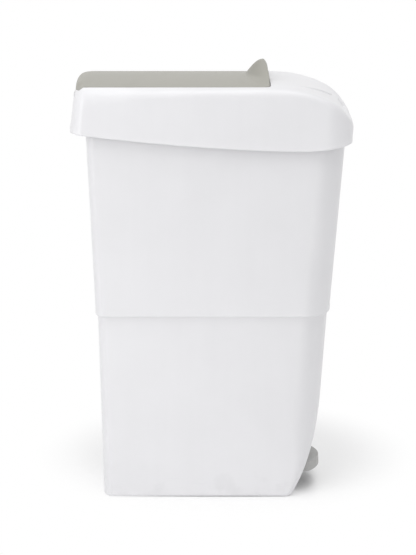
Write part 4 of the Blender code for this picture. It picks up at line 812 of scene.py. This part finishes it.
def hood_side_shares():
    """Places along the hood's side, close together where the mouth's front edge fans out."""
    side_rear = -HOOD_REAR_TOP + REAR_BOW + REAR_CORNER[0]
    side_front = HOOD_FRONT_TOP - FRONT_BOW - FRONT_CORNER[0]
    places = [blend(side_rear, SPINE_FRONT, i / 34) for i in range(1, 35)]
    places += [0.0672, 0.0682, 0.0692, 0.0700, MOUTH_FRONT]
    places += [SPINE_FRONT + HOOD_HALF_TOP * (MOUTH_FRONT - SPINE_FRONT) * 10000 / y for y in FAN]
    places += [blend(places[-1], side_front, i / 20) for i in range(1, 20)]
    return [(x - side_rear) / (side_front - side_rear) for x in places]


HOOD_SIDES = hood_side_shares()


def hood_line(top, inset):
    reach = (HOOD_REAR_TOP, HOOD_FRONT_TOP, HOOD_HALF_TOP) if top else HOOD_LOW_REACH
    return plan_line(reach, (REAR_CORNER, FRONT_CORNER), (REAR_BOW, FRONT_BOW), inset, HOOD_SIDES, 30, 30, 56)


def hood_edge(x):
    """Height of the hood's lower edge."""
    rise = max(0.0, (EDGE_LOW_X - x) / (EDGE_LOW_X + EDGE_END_X))
    nose = max(0.0, (x - EDGE_LOW_X) / (EDGE_END_X - EDGE_LOW_X))
    return EDGE_LOW + EDGE_REAR_RISE * rise ** 1.7 + EDGE_NOSE_RISE * nose ** 1.5


def crown(x, inset):
    """Height of the skin along the middle, falling away over the nose."""
    part, early, late = NOSE_SWEEP
    past = min(max(0.0, (x - SPINE_FRONT) / (HOOD_FRONT_TOP - inset - SPINE_FRONT)), 1.0)
    level = blend(HOOD_CROWN, HOOD_FRONT_CROWN, eased((x + 0.040) / 0.100)) - inset
    return level - NOSE_DROP * (part * past ** early + (1 - part) * past ** late)


def crease(x, inset):
    """Height of the edge where the upright side turns into the top."""
    level = CREASE_TOP - inset
    for way, (start, length, depth, power) in ((-1, CREASE_REAR), (1, CREASE_FRONT)):
        level -= depth * max(0.0, way * (x - start) / length) ** power
    return min(level, crown(x, inset))


def box_distance(a, b, low_a, high_a, half_b, corner):
    """Signed distance to a rounded rectangle, negative inside it."""
    over_a = abs(a - (low_a + high_a) / 2) - (high_a - low_a) / 2 + corner
    over_b = abs(b) - half_b + corner
    outside = math.hypot(max(over_a, 0.0), max(over_b, 0.0))
    return outside + min(max(over_a, over_b), 0.0) - corner


def past_nose_line(x, y):
    """Distance outside the arched line that crosses the nose."""
    wide = (y / NOSE_LINE) ** 2
    return (x + wide - NOSE_LINE_X) / math.hypot(1.0, 2 * y / NOSE_LINE ** 2)


RIB_STEPS = 260
HALVINGS = 34
MOST_INSIDE = 0.94
KEY_SHARES = (0.22, 0.40, 0.58, 0.80)
KEY_GAP = 0.0022
FULL_RIB = 0.0150
# Degrees off the nose's middle where rows leave the grip and the nose line, and over how many.
GRIP_FAN = (28, 24)
LINE_FAN = (62, 16)


class Rib:
    """One line of the hood's skin, from its shoulder up towards the crown, measured by its length."""

    def __init__(self, x, y, inset):
        self.x, self.y, self.inset = x, y, inset
        self.half = HOOD_HALF_TOP - inset
        self.spine = min(max(x, SPINE_REAR), SPINE_FRONT)
        low, top = crease(min(x, SPINE_FRONT), inset), crown(min(x, SPINE_FRONT), inset)
        inside = MOUTH_HALF / self.half
        if x < SPINE_FRONT:
            inside = min(MOUTH_HALF / max(abs(y), 0.001), MOST_INSIDE)
        self.steep = min(STEEPEST, math.log(1 - (MOUTH_LEVEL - inset - low) / (top - low)) / math.log(inside))
        self.turns = [math.pi / 2 * i / RIB_STEPS for i in range(RIB_STEPS + 1)]
        self.lengths = [0.0]
        last = self.at_turn(0.0)
        for turn in self.turns[1:]:
            point = self.at_turn(turn)
            self.lengths.append(self.lengths[-1] + (point - last).length)
            last = point

    def at_turn(self, turn):
        out = max(0.0, math.cos(turn))
        x, y = self.spine + (self.x - self.spine) * out, self.y * out
        place, aside = (self.x, out) if self.x < SPINE_REAR else (x, min(1.0, abs(y) / self.half))
        low, top = crease(place, self.inset), crown(place, self.inset)
        return Vector((x, y, low + (top - low) * (1 - aside ** self.steep)))

    def at(self, length):
        return self.at_turn(float(np.interp(length, self.lengths, self.turns)))

    def crossing(self, passed):
        """Length at which a test turns true."""
        low, high = 0.0, self.lengths[-1]
        if passed(self.at(low)):
            return low
        for _ in range(HALVINGS):
            middle = (low + high) / 2
            if passed(self.at(middle)):
                high = middle
            else:
                low = middle
        return high

    def mouth(self):
        """Length at which the line meets the mouth's edge, rounded where two edges meet."""
        plan = self.crossing(lambda p: box_distance(p.x, p.y, *MOUTH_PLAN) < 0)
        aside = eased((abs(self.y) - MOUTH_RISE[0]) / MOUTH_RISE[1])
        rear = blend(MOUTH_REAR_Z, MOUTH_CORNER_LEVEL, aside) - self.inset
        high = self.crossing(lambda p: p.z > rear)
        near = max(MOUTH_MEETING - abs(plan - high), 0.0) / MOUTH_MEETING
        return max(plan, high) + near ** 2 * MOUTH_MEETING / 4

    def keys(self):
        """Lengths at the grip's edges and the nose line, and the length at the mouth."""
        end = self.mouth()
        angle = math.degrees(math.atan2(abs(self.y), self.x - SPINE_FRONT)) if self.x > SPINE_FRONT else 90.0
        width = min(1.0, (end - ROUNDED) / FULL_RIB)
        fixed = [ROUNDED + (end - ROUNDED) * share for share in KEY_SHARES]
        grip = [self.crossing(lambda p, z=z: p.z > z) for z in GRIP[:2]]
        line = self.crossing(lambda p: past_nose_line(p.x, p.y) < 0)
        off_grip, off_line = (eased((angle - start) / over) for start, over in (GRIP_FAN, LINE_FAN))
        keys = [blend(near, far, off_grip) for near, far in zip(grip, fixed[:2])]
        keys += [blend(near, far, off_line) for near, far in zip((line, blend(line, end, 0.5)), fixed[2:])]
        gap = KEY_GAP * width
        keys[0] = max(keys[0], ROUNDED + gap)
        for i in range(1, 4):
            keys[i] = max(keys[i], keys[i - 1] + gap)
        keys[3] = min(keys[3], end - gap)
        for i in (2, 1, 0):
            keys[i] = min(keys[i], keys[i + 1] - gap)
        return keys, end, width


LIP = 0.0008
LOW_LIP = 0.0010
RELIEF = 0.0015
RELIEF_X = -0.149
RELIEF_Y = 0.064
RELIEF_Z = 0.476
WELL_LENGTH = 0.0150
WELL_WIDTH = 0.0240
WELL_DEPTH = 0.0032
BEAD = 0.0005
BEAD_RISE = 0.0016
BEAD_WIDTH = 0.0013
EDGE_ROWS = (-0.0009, -0.0006, -0.0003, 0.0, 0.0003, 0.0006, 0.0009)
BETWEEN_ROWS = (12, 6, 3, 26, 12)


def hood_lengths(rib):
    """Lengths of the rows of one line: close at the grip's edges and the nose line, even between them."""
    keys, end, width = rib.keys()
    stops = [ROUNDED]
    for key in keys:
        stops += [key + EDGE_ROWS[0] * width, key + EDGE_ROWS[-1] * width]
    stops.append(end - LIP)
    rows = []
    for i, count in enumerate(BETWEEN_ROWS):
        rows += [blend(stops[2 * i], stops[2 * i + 1], step / count) for step in range(1, count)]
        if i < len(keys):
            rows += [keys[i] + offset * width for offset in EDGE_ROWS]
    return rows + [end - LIP]


def sunk_well(grid):
    """Lower the top by the shallow finger well in front of the tab."""
    along = (grid[..., 0] - MOUTH_FRONT) / WELL_LENGTH
    across = grid[..., 1] / WELL_WIDTH
    grid[..., 2] -= WELL_DEPTH * np.exp(-along ** 2 - across ** 2)
    return grid


def seam(low, rib):
    """Where the wall ends under the rounded shoulder."""
    corner, foot = rib.at(0.0), Vector((*low, hood_edge(low[0])))
    return corner + (foot - corner).normalized() * ROUNDED


def wall_rows(low, ribs, shares, bead):
    """Rows of the upright wall between its lower edge and its shoulder."""
    tops = [seam(point, rib) for point, rib in zip(low, ribs)]
    rows = []
    for share in shares:
        row = []
        for (x, y), top in zip(low, tops):
            edge = hood_edge(x)
            z = blend(edge, top.z, share)
            out = bead * math.exp(-((z - edge - BEAD_RISE) / BEAD_WIDTH) ** 2) / math.hypot(x, y)
            row.append((blend(x, top.x, share) + out * x, blend(y, top.y, share) + out * y, z))
        rows.append(row)
    return np.array(rows, float)


def shoulder_rows(low, ribs, steps=8):
    """Rows that round the edge between the wall and the top."""
    rows = []
    for i in range(1, steps + 1):
        share = i / steps
        rows.append([seam(point, rib) * (1 - share) ** 2 + rib.at(0.0) * 2 * share * (1 - share)
                     + rib.at(ROUNDED) * share ** 2 for point, rib in zip(low, ribs)])
    return np.array(rows, float)


def over_edge(start, end, before, bulge, steps=5):
    """Rows that round an edge between two rows, bulging on from the row before."""
    way = start - before
    way /= np.linalg.norm(way, axis=1)[:, None]
    middle = (start + end) / 2
    turns = [math.pi * i / steps for i in range(1, steps)]
    return [middle + (start - middle) * math.cos(turn) + way * bulge * math.sin(turn) for turn in turns]


def thinned(grid):
    """Thin the rear wall from inside, where the flap's curl sweeps past it."""
    for point in grid.reshape(-1, 3):
        x, y, z = point
        share = eased((z - RELIEF_Z) / 0.006) * eased((RELIEF_X - x) / 0.005)
        if share > 0:
            way = Vector((x - RELIEF_X, math.copysign(max(abs(y) - RELIEF_Y, 0.0), y), 0.0)).normalized()
            point += np.array(way * RELIEF * share)
    return grid


def sink(grid, first):
    """Step the skin down outside the nose's line and press the grip into it, along its normal."""
    along = np.gradient(grid, axis=0)
    padded = np.concatenate([grid[:, -1:], grid, grid[:, :1]], axis=1)
    across = (padded[:, 2:] - padded[:, :-2]) / 2
    normal = np.cross(along, across)
    normal /= np.maximum(np.linalg.norm(normal, axis=2), 1e-12)[..., None]
    outward = np.sign(np.sum(normal * (grid - np.array((0.0, 0.0, 0.40))), axis=2))
    inside = np.linalg.norm(grid - grid[first - 1], axis=2)
    depth = np.zeros(grid.shape[:2])
    for row in range(first, grid.shape[0]):
        for column in range(grid.shape[1]):
            x, y, z = grid[row, column]
            if x < NOSE_LINE_FADE[0]:
                continue
            fade = eased((x - NOSE_LINE_FADE[0]) / NOSE_LINE_FADE[1])
            fade *= eased(inside[row, column] / SHOULDER_FADE)
            step = NOSE_LINE_DEPTH * fade * eased(0.5 + past_nose_line(x, y) / SOFT_EDGE)
            grip = GRIP_DEPTH * eased(0.5 - box_distance(z, y, *GRIP) / SOFT_EDGE) if x > GRIP_REAR else 0.0
            depth[row, column] = step + grip
    return grid - normal * (outward * depth)[..., None]


WALL_SHARES = (0.02, 0.035, 0.05, 0.075, 0.11, 0.16, 0.24, 0.34, 0.45, 0.58, 0.72, 0.86, 1.0)
INNER_SHARES = (1.0, 0.8, 0.6, 0.4, 0.2, 0.08, 0.02)


def hood_grid():
    """Rows of points round the hood's whole wall: up outside, over the mouth's lip and down inside."""
    outer_low, inner_low = hood_line(False, 0.0), hood_line(False, HOOD_WALL)
    ribs = [Rib(x, y, 0.0) for x, y in hood_line(True, 0.0)]
    inner_ribs = [Rib(x, y, HOOD_WALL) for x, y in hood_line(True, HOOD_WALL)]
    wall = wall_rows(outer_low, ribs, WALL_SHARES, BEAD)
    shoulder = shoulder_rows(outer_low, ribs)
    columns = [[rib.at(length) for length in hood_lengths(rib)] for rib in ribs]
    dome = np.array(columns, float).transpose(1, 0, 2)
    outer = sink(sunk_well(np.concatenate([wall, shoulder, dome])), len(wall) + len(shoulder))
    columns = []
    for rib in inner_ribs:
        end = rib.mouth() - LIP
        columns.append([rib.at(blend(end, ROUNDED, i / 21)) for i in range(21)])
    inner_dome = sunk_well(np.array(columns, float).transpose(1, 0, 2))
    inner_shoulder = shoulder_rows(inner_low, inner_ribs, 5)[::-1]
    inner_wall = wall_rows(inner_low, inner_ribs, INNER_SHARES, 0.0)
    inner = thinned(np.concatenate([inner_dome, inner_shoulder, inner_wall]))
    mouth_lip = over_edge(outer[-1], inner[0], outer[-2], LIP)
    down = outer[0] - outer[1]
    low_lip = over_edge(inner[-1], outer[0], inner[-1] - down, LOW_LIP)
    return np.concatenate([outer, mouth_lip, inner, low_lip])


def skin(grid):
    """A closed ring of quads from a grid whose rows and columns both run round."""
    rows, columns = grid.shape[:2]
    data = bmesh.new()
    verts = [[data.verts.new(point) for point in row] for row in grid]
    for row in range(rows):
        here, below = verts[row], verts[(row + 1) % rows]
        for column in range(columns):
            beside = (column + 1) % columns
            data.faces.new((here[column], here[beside], below[beside], below[column]))
    return data


def fingermarks(finish):
    """Cleaning smears on the top and faint dark rub at the lower edge."""
    height = finish.height()
    smear = finish.streaks((34.0, 9.0, 30.0), 4.0).between(0.52, 0.74)
    return (smear * height.between(0.484, 0.506) * 0.5 + (1 - height.between(0.428, 0.436)) * 0.15).clamped()


BOSS_X = (-0.100, 0.040)
BOSS_Y = 0.0775
BOSS_SECTION = [(0.0019, 0.4868), (0.0032, 0.4868), (0.0035, 0.4871), (0.0035, 0.4983), (0.0019, 0.4983)]
white_hood = moulded("white_hood_plastic", (0.820, 0.817, 0.835), 0.36, 1500.0, 0.000010, fingermarks, 0.96)
hood_data = skin(hood_grid())
for side in (-1, 1):
    socket_section = [(0.0036, side * 0.0695), (0.0048, side * 0.0695), (0.0051, side * 0.0698),
                      (0.0051, side * 0.0790), (0.0036, side * 0.0790)]
    turned(socket_section, HINGE, "Y", 40, hood_data, True)
    block(hood_data, (HINGE_X - 0.0045, side * 0.0765, HINGE_Z - 0.0160),
          (HINGE_X + 0.0045, side * 0.0832, HINGE_Z - 0.0042))
    for x in (-0.092, 0.118):
        block(hood_data, (x - 0.007, side * 0.0790, 0.4576), (x + 0.007, side * 0.0866, 0.4696))
    for x in BOSS_X:
        turned(BOSS_SECTION, (x, side * BOSS_Y, 0.0), steps=28, data=hood_data, closed=True)
fit(piece("hood_moulding", hood_data, white_hood, 50.0), "hood", "white_plastic", "hood")

# Seat frame with its screws and bumpers
# A moulded frame is screwed up under the mouth from inside. The flap closes on two small rubber bumpers.
fit(softened("mouth_seat_frame", "throat_frame", inner_white, 0.0005),
    "hood", "inner_white_plastic", "throat_frame")
FRAME_SCREW_Z = 0.4827
screw_points = [(x, y, FRAME_SCREW_Z) for x in BOSS_X for y in (BOSS_Y, -BOSS_Y)]
frame_screws = screw_tree("frame screw", 0.008).made("frame_screws", screw_points, [(0.0, 0.0, 0.9)] * 4)
fit(frame_screws, "hood", "zinc_plated_steel", *hands("frame_screw_{}_{}"))
bumpers = bmesh.new()
for name in ("flap_bumper_left", "flap_bumper_right"):
    low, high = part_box(name)
    turned([(0.0022, low.z), (0.0022, high.z - 0.0006), (0.0018, high.z - 0.0001), (0.0008, high.z)],
           ((low.x + high.x) / 2, (low.y + high.y) / 2, 0.0), steps=28, data=bumpers)
fit(piece("seat_bumpers", bumpers, rubber), "hood", "rubber", "flap_bumper_left", "flap_bumper_right")

# Sachet holder
# An open box behind the nose takes an odour sachet. Five slots in its floor let the scent down.
holder_low, holder_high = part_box("sachet_holder")
outside = holder_high - holder_low
holder_tree = Tree("slotted sachet box")
holder_wall = holder_tree.size("Wall", 0.0018)
slot_width = holder_tree.size("Slot width", 0.0040)
slot_pitch = holder_tree.size("Slot pitch", 0.0680 / 6)
hollow = holder_tree.box(outside.x - holder_wall * 2, outside.y - holder_wall * 2, outside.z)
slot_line = holder_tree.node("GeometryNodeMeshLine", {}, {
    "Count": 5, "Start Location": holder_tree.vector(0.0, slot_pitch * -2.0, -outside.z / 2),
    "Offset": holder_tree.vector(0.0, slot_pitch)})
slot_set = holder_tree.node("GeometryNodeInstanceOnPoints", {}, {
    "Points": slot_line, "Instance": holder_tree.box(outside.x - 0.0144, slot_width, 0.010)})
slots = holder_tree.node("GeometryNodeRealizeInstances", {}, {0: slot_set})
opened = holder_tree.cut(holder_tree.box(*outside), holder_tree.moved(hollow, holder_wall), slots)
holder_tree.end(holder_tree.node("GeometryNodeTransform", {}, {
    "Geometry": opened, "Translation": tuple((holder_low + holder_high) / 2)}), inner_white)
holder = smoothed(eased_edges(holder_tree.made("slotted_sachet_box"), 0.0004, 2), 50.0)
fit(holder, "hood", "inner_white_plastic", "sachet_holder")

# Hinge pin, bushes and crank
# A steel pin with eased ends carries the flap in two acetal bushes. The crank is a thick acetal arm on the
# pin, fixed by its foot under the flap, and the push rod's cap lifts its end.
pin_section = [(0.0014, -0.0755), (0.0020, -0.0749), (0.0020, 0.0749), (0.0014, 0.0755)]
hinge_pin = piece("flap_hinge_pin", turned(pin_section, HINGE, "Y", 40), steel)
fit(hinge_pin, "flap", "zinc_plated_steel", "hinge_pin")
bushes = bmesh.new()
bush_section = [(0.0023, 0.0684), (0.0043, 0.0684), (0.0046, 0.0687), (0.0046, 0.0692), (0.0033, 0.0692),
                (0.0033, 0.0750), (0.0030, 0.0754), (0.0023, 0.0754)]
for side in (-1, 1):
    turned([(radius, side * y) for radius, y in bush_section], HINGE, "Y", 40, bushes, True)
fit(piece("hinge_bushes", bushes, acetal), "hood", "acetal", "hinge_bush_left", "hinge_bush_right")
fit(softened("flap_crank_arm", "flap_crank", acetal, 0.0006), "flap", "acetal", "flap_crank")

# Flap
# The grey flap is a crowned sheet, curled over its hinge at the rear, whose front edge sweeps up into a
# finger tab and turns down again. Hands have polished the tab's rim.
FLAP_HALF = 0.0750
FLAP_WALL = 0.0025
CURL_R = 0.0170
CROWN_DROP = 0.0060
FLAP_FRONT = 0.0697
FLAP_CORNER = 0.0045
TAB_BACK = 0.0069
ROOT_X = 0.0412
ROOT_END = 0.0650
# How far along the sheet the curl, the level part and the rising part end.
CURL_RUN, LEVEL_RUN, RISING_RUN = 0.26, 0.52, 0.80
RIB_IN, RIB_OUT = 0.0580, 0.0625
RIB_FRONT = -0.0640
KNUCKLE = 0.0065


def tab_wear_and_shade(finish):
    """Rubbed tab, painted shade on the tab's rising flank, and faint wiping marks across the flap."""
    wipes = finish.streaks((45.0, 8.0, 20.0), 4.0).between(0.52, 0.75)
    rubbed = finish.height().between(0.514, 0.529) * finish.noise(120.0, 3.0).between(0.35, 0.70)
    forward = finish.part(finish.place, "X")
    # Painted shade: the tab's rising flank is darkened in colour, standing in for the shade that falls on it.
    hollow = finish.height().between(0.5100, 0.5140) * (1 - forward.between(0.053, 0.068))
    return (wipes * 0.12 + rubbed * 0.15 + hollow * 0.85).clamped()


def rounding_off(share):
    """How far a quarter circle has fallen at a share of its radius."""
    return 1 - (1 - share * share).math("SQRT")


flap_grey = moulded("flap_grey_plastic", (0.379, 0.370, 0.331), 0.46, 850.0, 0.000022, tab_wear_and_shade, 0.85)
flap_tree = Tree("crowned flap with finger tab")
half_width = flap_tree.size("Half width", FLAP_HALF)
crown_drop = flap_tree.size("Crown drop", CROWN_DROP)
curl = flap_tree.size("Curl radius", CURL_R)
tab_rise = flap_tree.size("Tab rise", 0.0185)
tab_bell = flap_tree.size("Tab width", 0.0365)
tab_lean = flap_tree.size("Tab lean", 0.0240)
lip_drop = flap_tree.size("Front lip", 0.0050)
rows = flap_tree.size("Rows", 118, "Int")
columns = flap_tree.size("Columns", 121, "Int")
sheet = flap_tree.node("GeometryNodeMeshGrid", {}, {
    "Size X": 1.0, "Size Y": 1.0, "Vertices X": rows, "Vertices Y": columns})
spot = flap_tree.node("GeometryNodeInputPosition")
run = flap_tree.part(spot, "X") + 0.5
across = flap_tree.part(spot, "Y") * 2.0
share = (across + (across * (math.pi / 2)).math("SINE")) * 0.5
flap_y = share * half_width
away = flap_y.math("ABSOLUTE")
drop = crown_drop * share * share
rear_flat = HOOD_HALF_TOP - HOOD_WALL - REAR_CORNER[1]
near_middle = (away / rear_flat).clamped()
round_corner = ((away - rear_flat) / REAR_CORNER[1]).clamped()
rear_face = -(HOOD_REAR_TOP - HOOD_WALL) + near_middle * near_middle * REAR_BOW
rear_face = rear_face + REAR_CORNER[0] * rounding_off(round_corner)
room = (HINGE_X - 0.0006) - rear_face - away.between(0.044, 0.066) * 0.0020
reach = curl.math("MINIMUM", room)
front = FLAP_FRONT - FLAP_CORNER * rounding_off(((away - (FLAP_HALF - FLAP_CORNER)) / FLAP_CORNER).clamped())
edge = front - TAB_BACK * (-(away / tab_lean) ** 2.0).math("EXPONENT")
bell = (-((away / tab_bell) ** 2.0)).math("EXPONENT")
root = ROOT_X + ((front - FLAP_WALL).math("MINIMUM", ROOT_END) - ROOT_X) * share * share
curled = (run / CURL_RUN).clamped()
level = ((run - CURL_RUN) / (LEVEL_RUN - CURL_RUN)).clamped()
rising = ((run - LEVEL_RUN) / (RISING_RUN - LEVEL_RUN)).clamped()
falling = ((run - RISING_RUN) / (1 - RISING_RUN)).clamped()
squareness = 0.66 + away.between(0.042, 0.062) * 0.34
angle = math.radians(190.0) - curled * math.radians(100.0)
backward = angle.math("COSINE").math("ABSOLUTE") ** squareness
upward = angle.math("SINE")
upward = upward.math("SIGN") * upward.math("ABSOLUTE") ** squareness
flap_y = flap_y * (1 - backward * (1 - level) * 0.125)
flap_x = HINGE_X - backward * reach + (root - HINGE_X) * level + (edge - root) * rising
flap_x = flap_x + (front - edge) * (falling * (math.pi / 2)).math("SINE")
flap_z = HINGE_Z + upward * (curl - drop) + tab_rise * bell * (rising * (math.pi / 2)).math("SINE")
flap_z = flap_z - (tab_rise * bell + lip_drop) * falling ** 1.5
shaped = flap_tree.node("GeometryNodeSetPosition", {}, {
    "Geometry": sheet, "Position": flap_tree.vector(flap_x, flap_y, flap_z)})
flap_tree.end(shaped, flap_grey)
flap = flap_tree.made("tipping_flap")
if flap.data.polygons[len(flap.data.polygons) // 2].normal.z < 0:
    flap.data.flip_normals()
wall = flap.modifiers.new("Wall", "SOLIDIFY")
wall.thickness = FLAP_WALL
wall.offset = -1.0
wall.use_even_offset = True
eased_edges(flap, 0.0008, 3, 50.0)
for side in (-1, 1):
    carved(flap, turned([(0.0057, side * 0.0687), (0.0057, side * 0.090)], HINGE, "Y", 40))

ribs = bmesh.new()
rib_top = HINGE_Z + CURL_R - FLAP_WALL - CROWN_DROP * ((RIB_IN + RIB_OUT) / 2 / FLAP_HALF) ** 2 + 0.0008
knuckle = []
for i in range(21):
    angle = math.radians(120 + 170 * i / 20)
    knuckle.append((HINGE_X + KNUCKLE * math.cos(angle), HINGE_Z + KNUCKLE * math.sin(angle)))
knuckle += [(RIB_FRONT, rib_top - 0.0100), (RIB_FRONT, rib_top), (HINGE_X, rib_top)]
for side in (-1, 1):
    loft([[(x, side * y, z) for x, z in knuckle] for y in (RIB_IN, RIB_OUT)], ribs)
rib_piece = eased_edges(piece("flap_ribs", ribs, flap_grey), 0.0004)
joined = bmesh.new()
joined.from_mesh(flap.data)
joined.from_mesh(rib_piece.data)
joined.to_mesh(flap.data)
joined.free()
bpy.data.objects.remove(rib_piece, do_unlink=True)
flap.data.materials.clear()
flap.data.materials.append(flap_grey.material)
fit(smoothed(flap, 50.0), "flap", "warm_grey_plastic", "flap")

# Tray with its screws
# The modesty tray hangs under the flap and closes the throat while it is open. Four small screws fix its
# arms to the flap's ribs.
fit(softened("modesty_tray", "tray", inner_white, 0.0005), "flap", "inner_white_plastic", "tray")
TRAY_SCREW_X = (-0.105, -0.080)
TRAY_SCREW_Y = 0.0666
tray_screw_points = [(x, side * TRAY_SCREW_Y, 0.4950) for x in TRAY_SCREW_X for side in (1, -1)]
tray_screw_turns = [(side * math.pi / 2, 0.0, 0.0) for side in (1, -1)] * 2
tray_screws = screw_tree("tray screw", 0.006).made("tray_screws", tray_screw_points, tray_screw_turns)
fit(tray_screws, "flap", "zinc_plated_steel", *hands("tray_screw_{}_{}"))

# Floor, light and camera
# A plain white floor under broad soft lamps, seen from a little above the lid.
floor_data = bmesh.new()
bmesh.ops.create_grid(floor_data, x_segments=1, y_segments=1, size=12.0)
floor_paint = Finish("studio_floor", Roughness=0.9, Specular_IOR_Level=0.0)
dust = floor_paint.noise(3.0, 2.0)
floor_paint.feed("Base Color", floor_paint.mixed(dust, (0.930, 0.930, 0.934), (0.940, 0.940, 0.943)))


def direct_sight(nodes):
    """1 for what the camera sees straight, in a gloss or through glass, 0 for light on other things."""
    camera, mirror, glass = (nodes.node("ShaderNodeLightPath", output=f"Is {ray} Ray")
                             for ray in ("Camera", "Glossy", "Transmission"))
    return (camera + mirror + glass).clamped()


# The floor is plain white far from the object. Nearer in, a painted mask fades out its emission glow, so that
# the floor's own soft shadow shows round the foot, partly lightened by this painted light.
around = floor_paint.node("ShaderNodeMapping", {}, {
    "Vector": floor_paint.place, "Location": (-0.02, -0.108, 0.0), "Scale": (1.0, 0.83, 1.0)})
spread = floor_paint.vector_math("LENGTH", around, output="Value")
beside = floor_paint.vector_math("SUBTRACT", floor_paint.vector_math("ABSOLUTE", floor_paint.place),
                                 (0.110, 0.070, 0.0))
beside = floor_paint.vector_math("MAXIMUM", beside, (0.0, 0.0, 0.0))
apart = floor_paint.vector_math("LENGTH", beside, output="Value")
# Painted light: wherever this mask falls below 1, the emission glow lifts the floor and lightens the object's
# shadow.
shade = (1 - spread.between(0.132, 0.25)) * (1 - apart.between(0.008, 0.026) * 0.45)
painted_floor_glow = floor_paint.node("ShaderNodeEmission", {}, {"Color": (1.0, 1.0, 1.0, 1.0), "Strength": 1.0})
paint = Socket(floor_paint, floor_paint.shader.outputs[0])
floor_mix = floor_paint.node("ShaderNodeMixShader", {}, {
    0: direct_sight(floor_paint) * (1 - shade), 1: paint, 2: painted_floor_glow})
floor_paint.tree.links.new(floor_mix.output, floor_paint.tree.nodes["Material Output"].inputs["Surface"])
piece("studio_floor", floor_data, floor_paint)

world = bpy.data.worlds.new("studio")
bpy.context.scene.world = world
world.use_nodes = True
sky = Nodes(world.node_tree)
sky.tree.nodes.clear()
soft = sky.node("ShaderNodeBackground", {}, {"Color": (1.0, 1.0, 1.0, 1.0), "Strength": 0.58})
plain = sky.node("ShaderNodeBackground", {}, {"Color": (1.0, 1.0, 1.0, 1.0), "Strength": 1.0})
sky_mix = sky.node("ShaderNodeMixShader", {}, {0: direct_sight(sky), 1: soft, 2: plain})
sky.tree.links.new(sky_mix.output, sky.tree.nodes.new("ShaderNodeOutputWorld").inputs["Surface"])


def lamp(name, place, target, size, power):
    light = bpy.data.lights.new(name, "AREA")
    light.shape = "DISK"
    light.size = size
    light.energy = power
    item = bpy.data.objects.new(name, light)
    item.location = place
    item.rotation_euler = (Vector(target) - Vector(place)).to_track_quat("-Z", "Y").to_euler()
    bpy.context.scene.collection.objects.link(item)


lamp("key lamp", (-0.90, -0.75, 0.70), (0.0, 0.0, 0.30), 0.8, 3.2)
lamp("top lamp", (0.0, -0.70, 2.5), (0.0, 0.0, 0.3), 1.8, 20.5)
lamp("right lamp", (1.3, -0.1, 0.6), (0.05, 0.0, 0.35), 1.0, 1.0)
lamp("low lamp", (-0.15, -0.65, 0.05), (0.0, -0.08, 0.08), 0.16, 0.20)

camera_data = bpy.data.cameras.new("camera")
camera_data.sensor_fit = "VERTICAL"
camera_data.sensor_height = 36.0
camera_data.lens = 177.73
camera_data.clip_end = 60.0
camera = bpy.data.objects.new("camera", camera_data)
camera.location = (-0.0037, -3.300, 0.930)
camera.rotation_euler = (math.radians(78.5), 0.0, 0.0)
bpy.context.scene.collection.objects.link(camera)
bpy.context.scene.camera = camera
bpy.context.scene.view_settings.view_transform = "Standard"
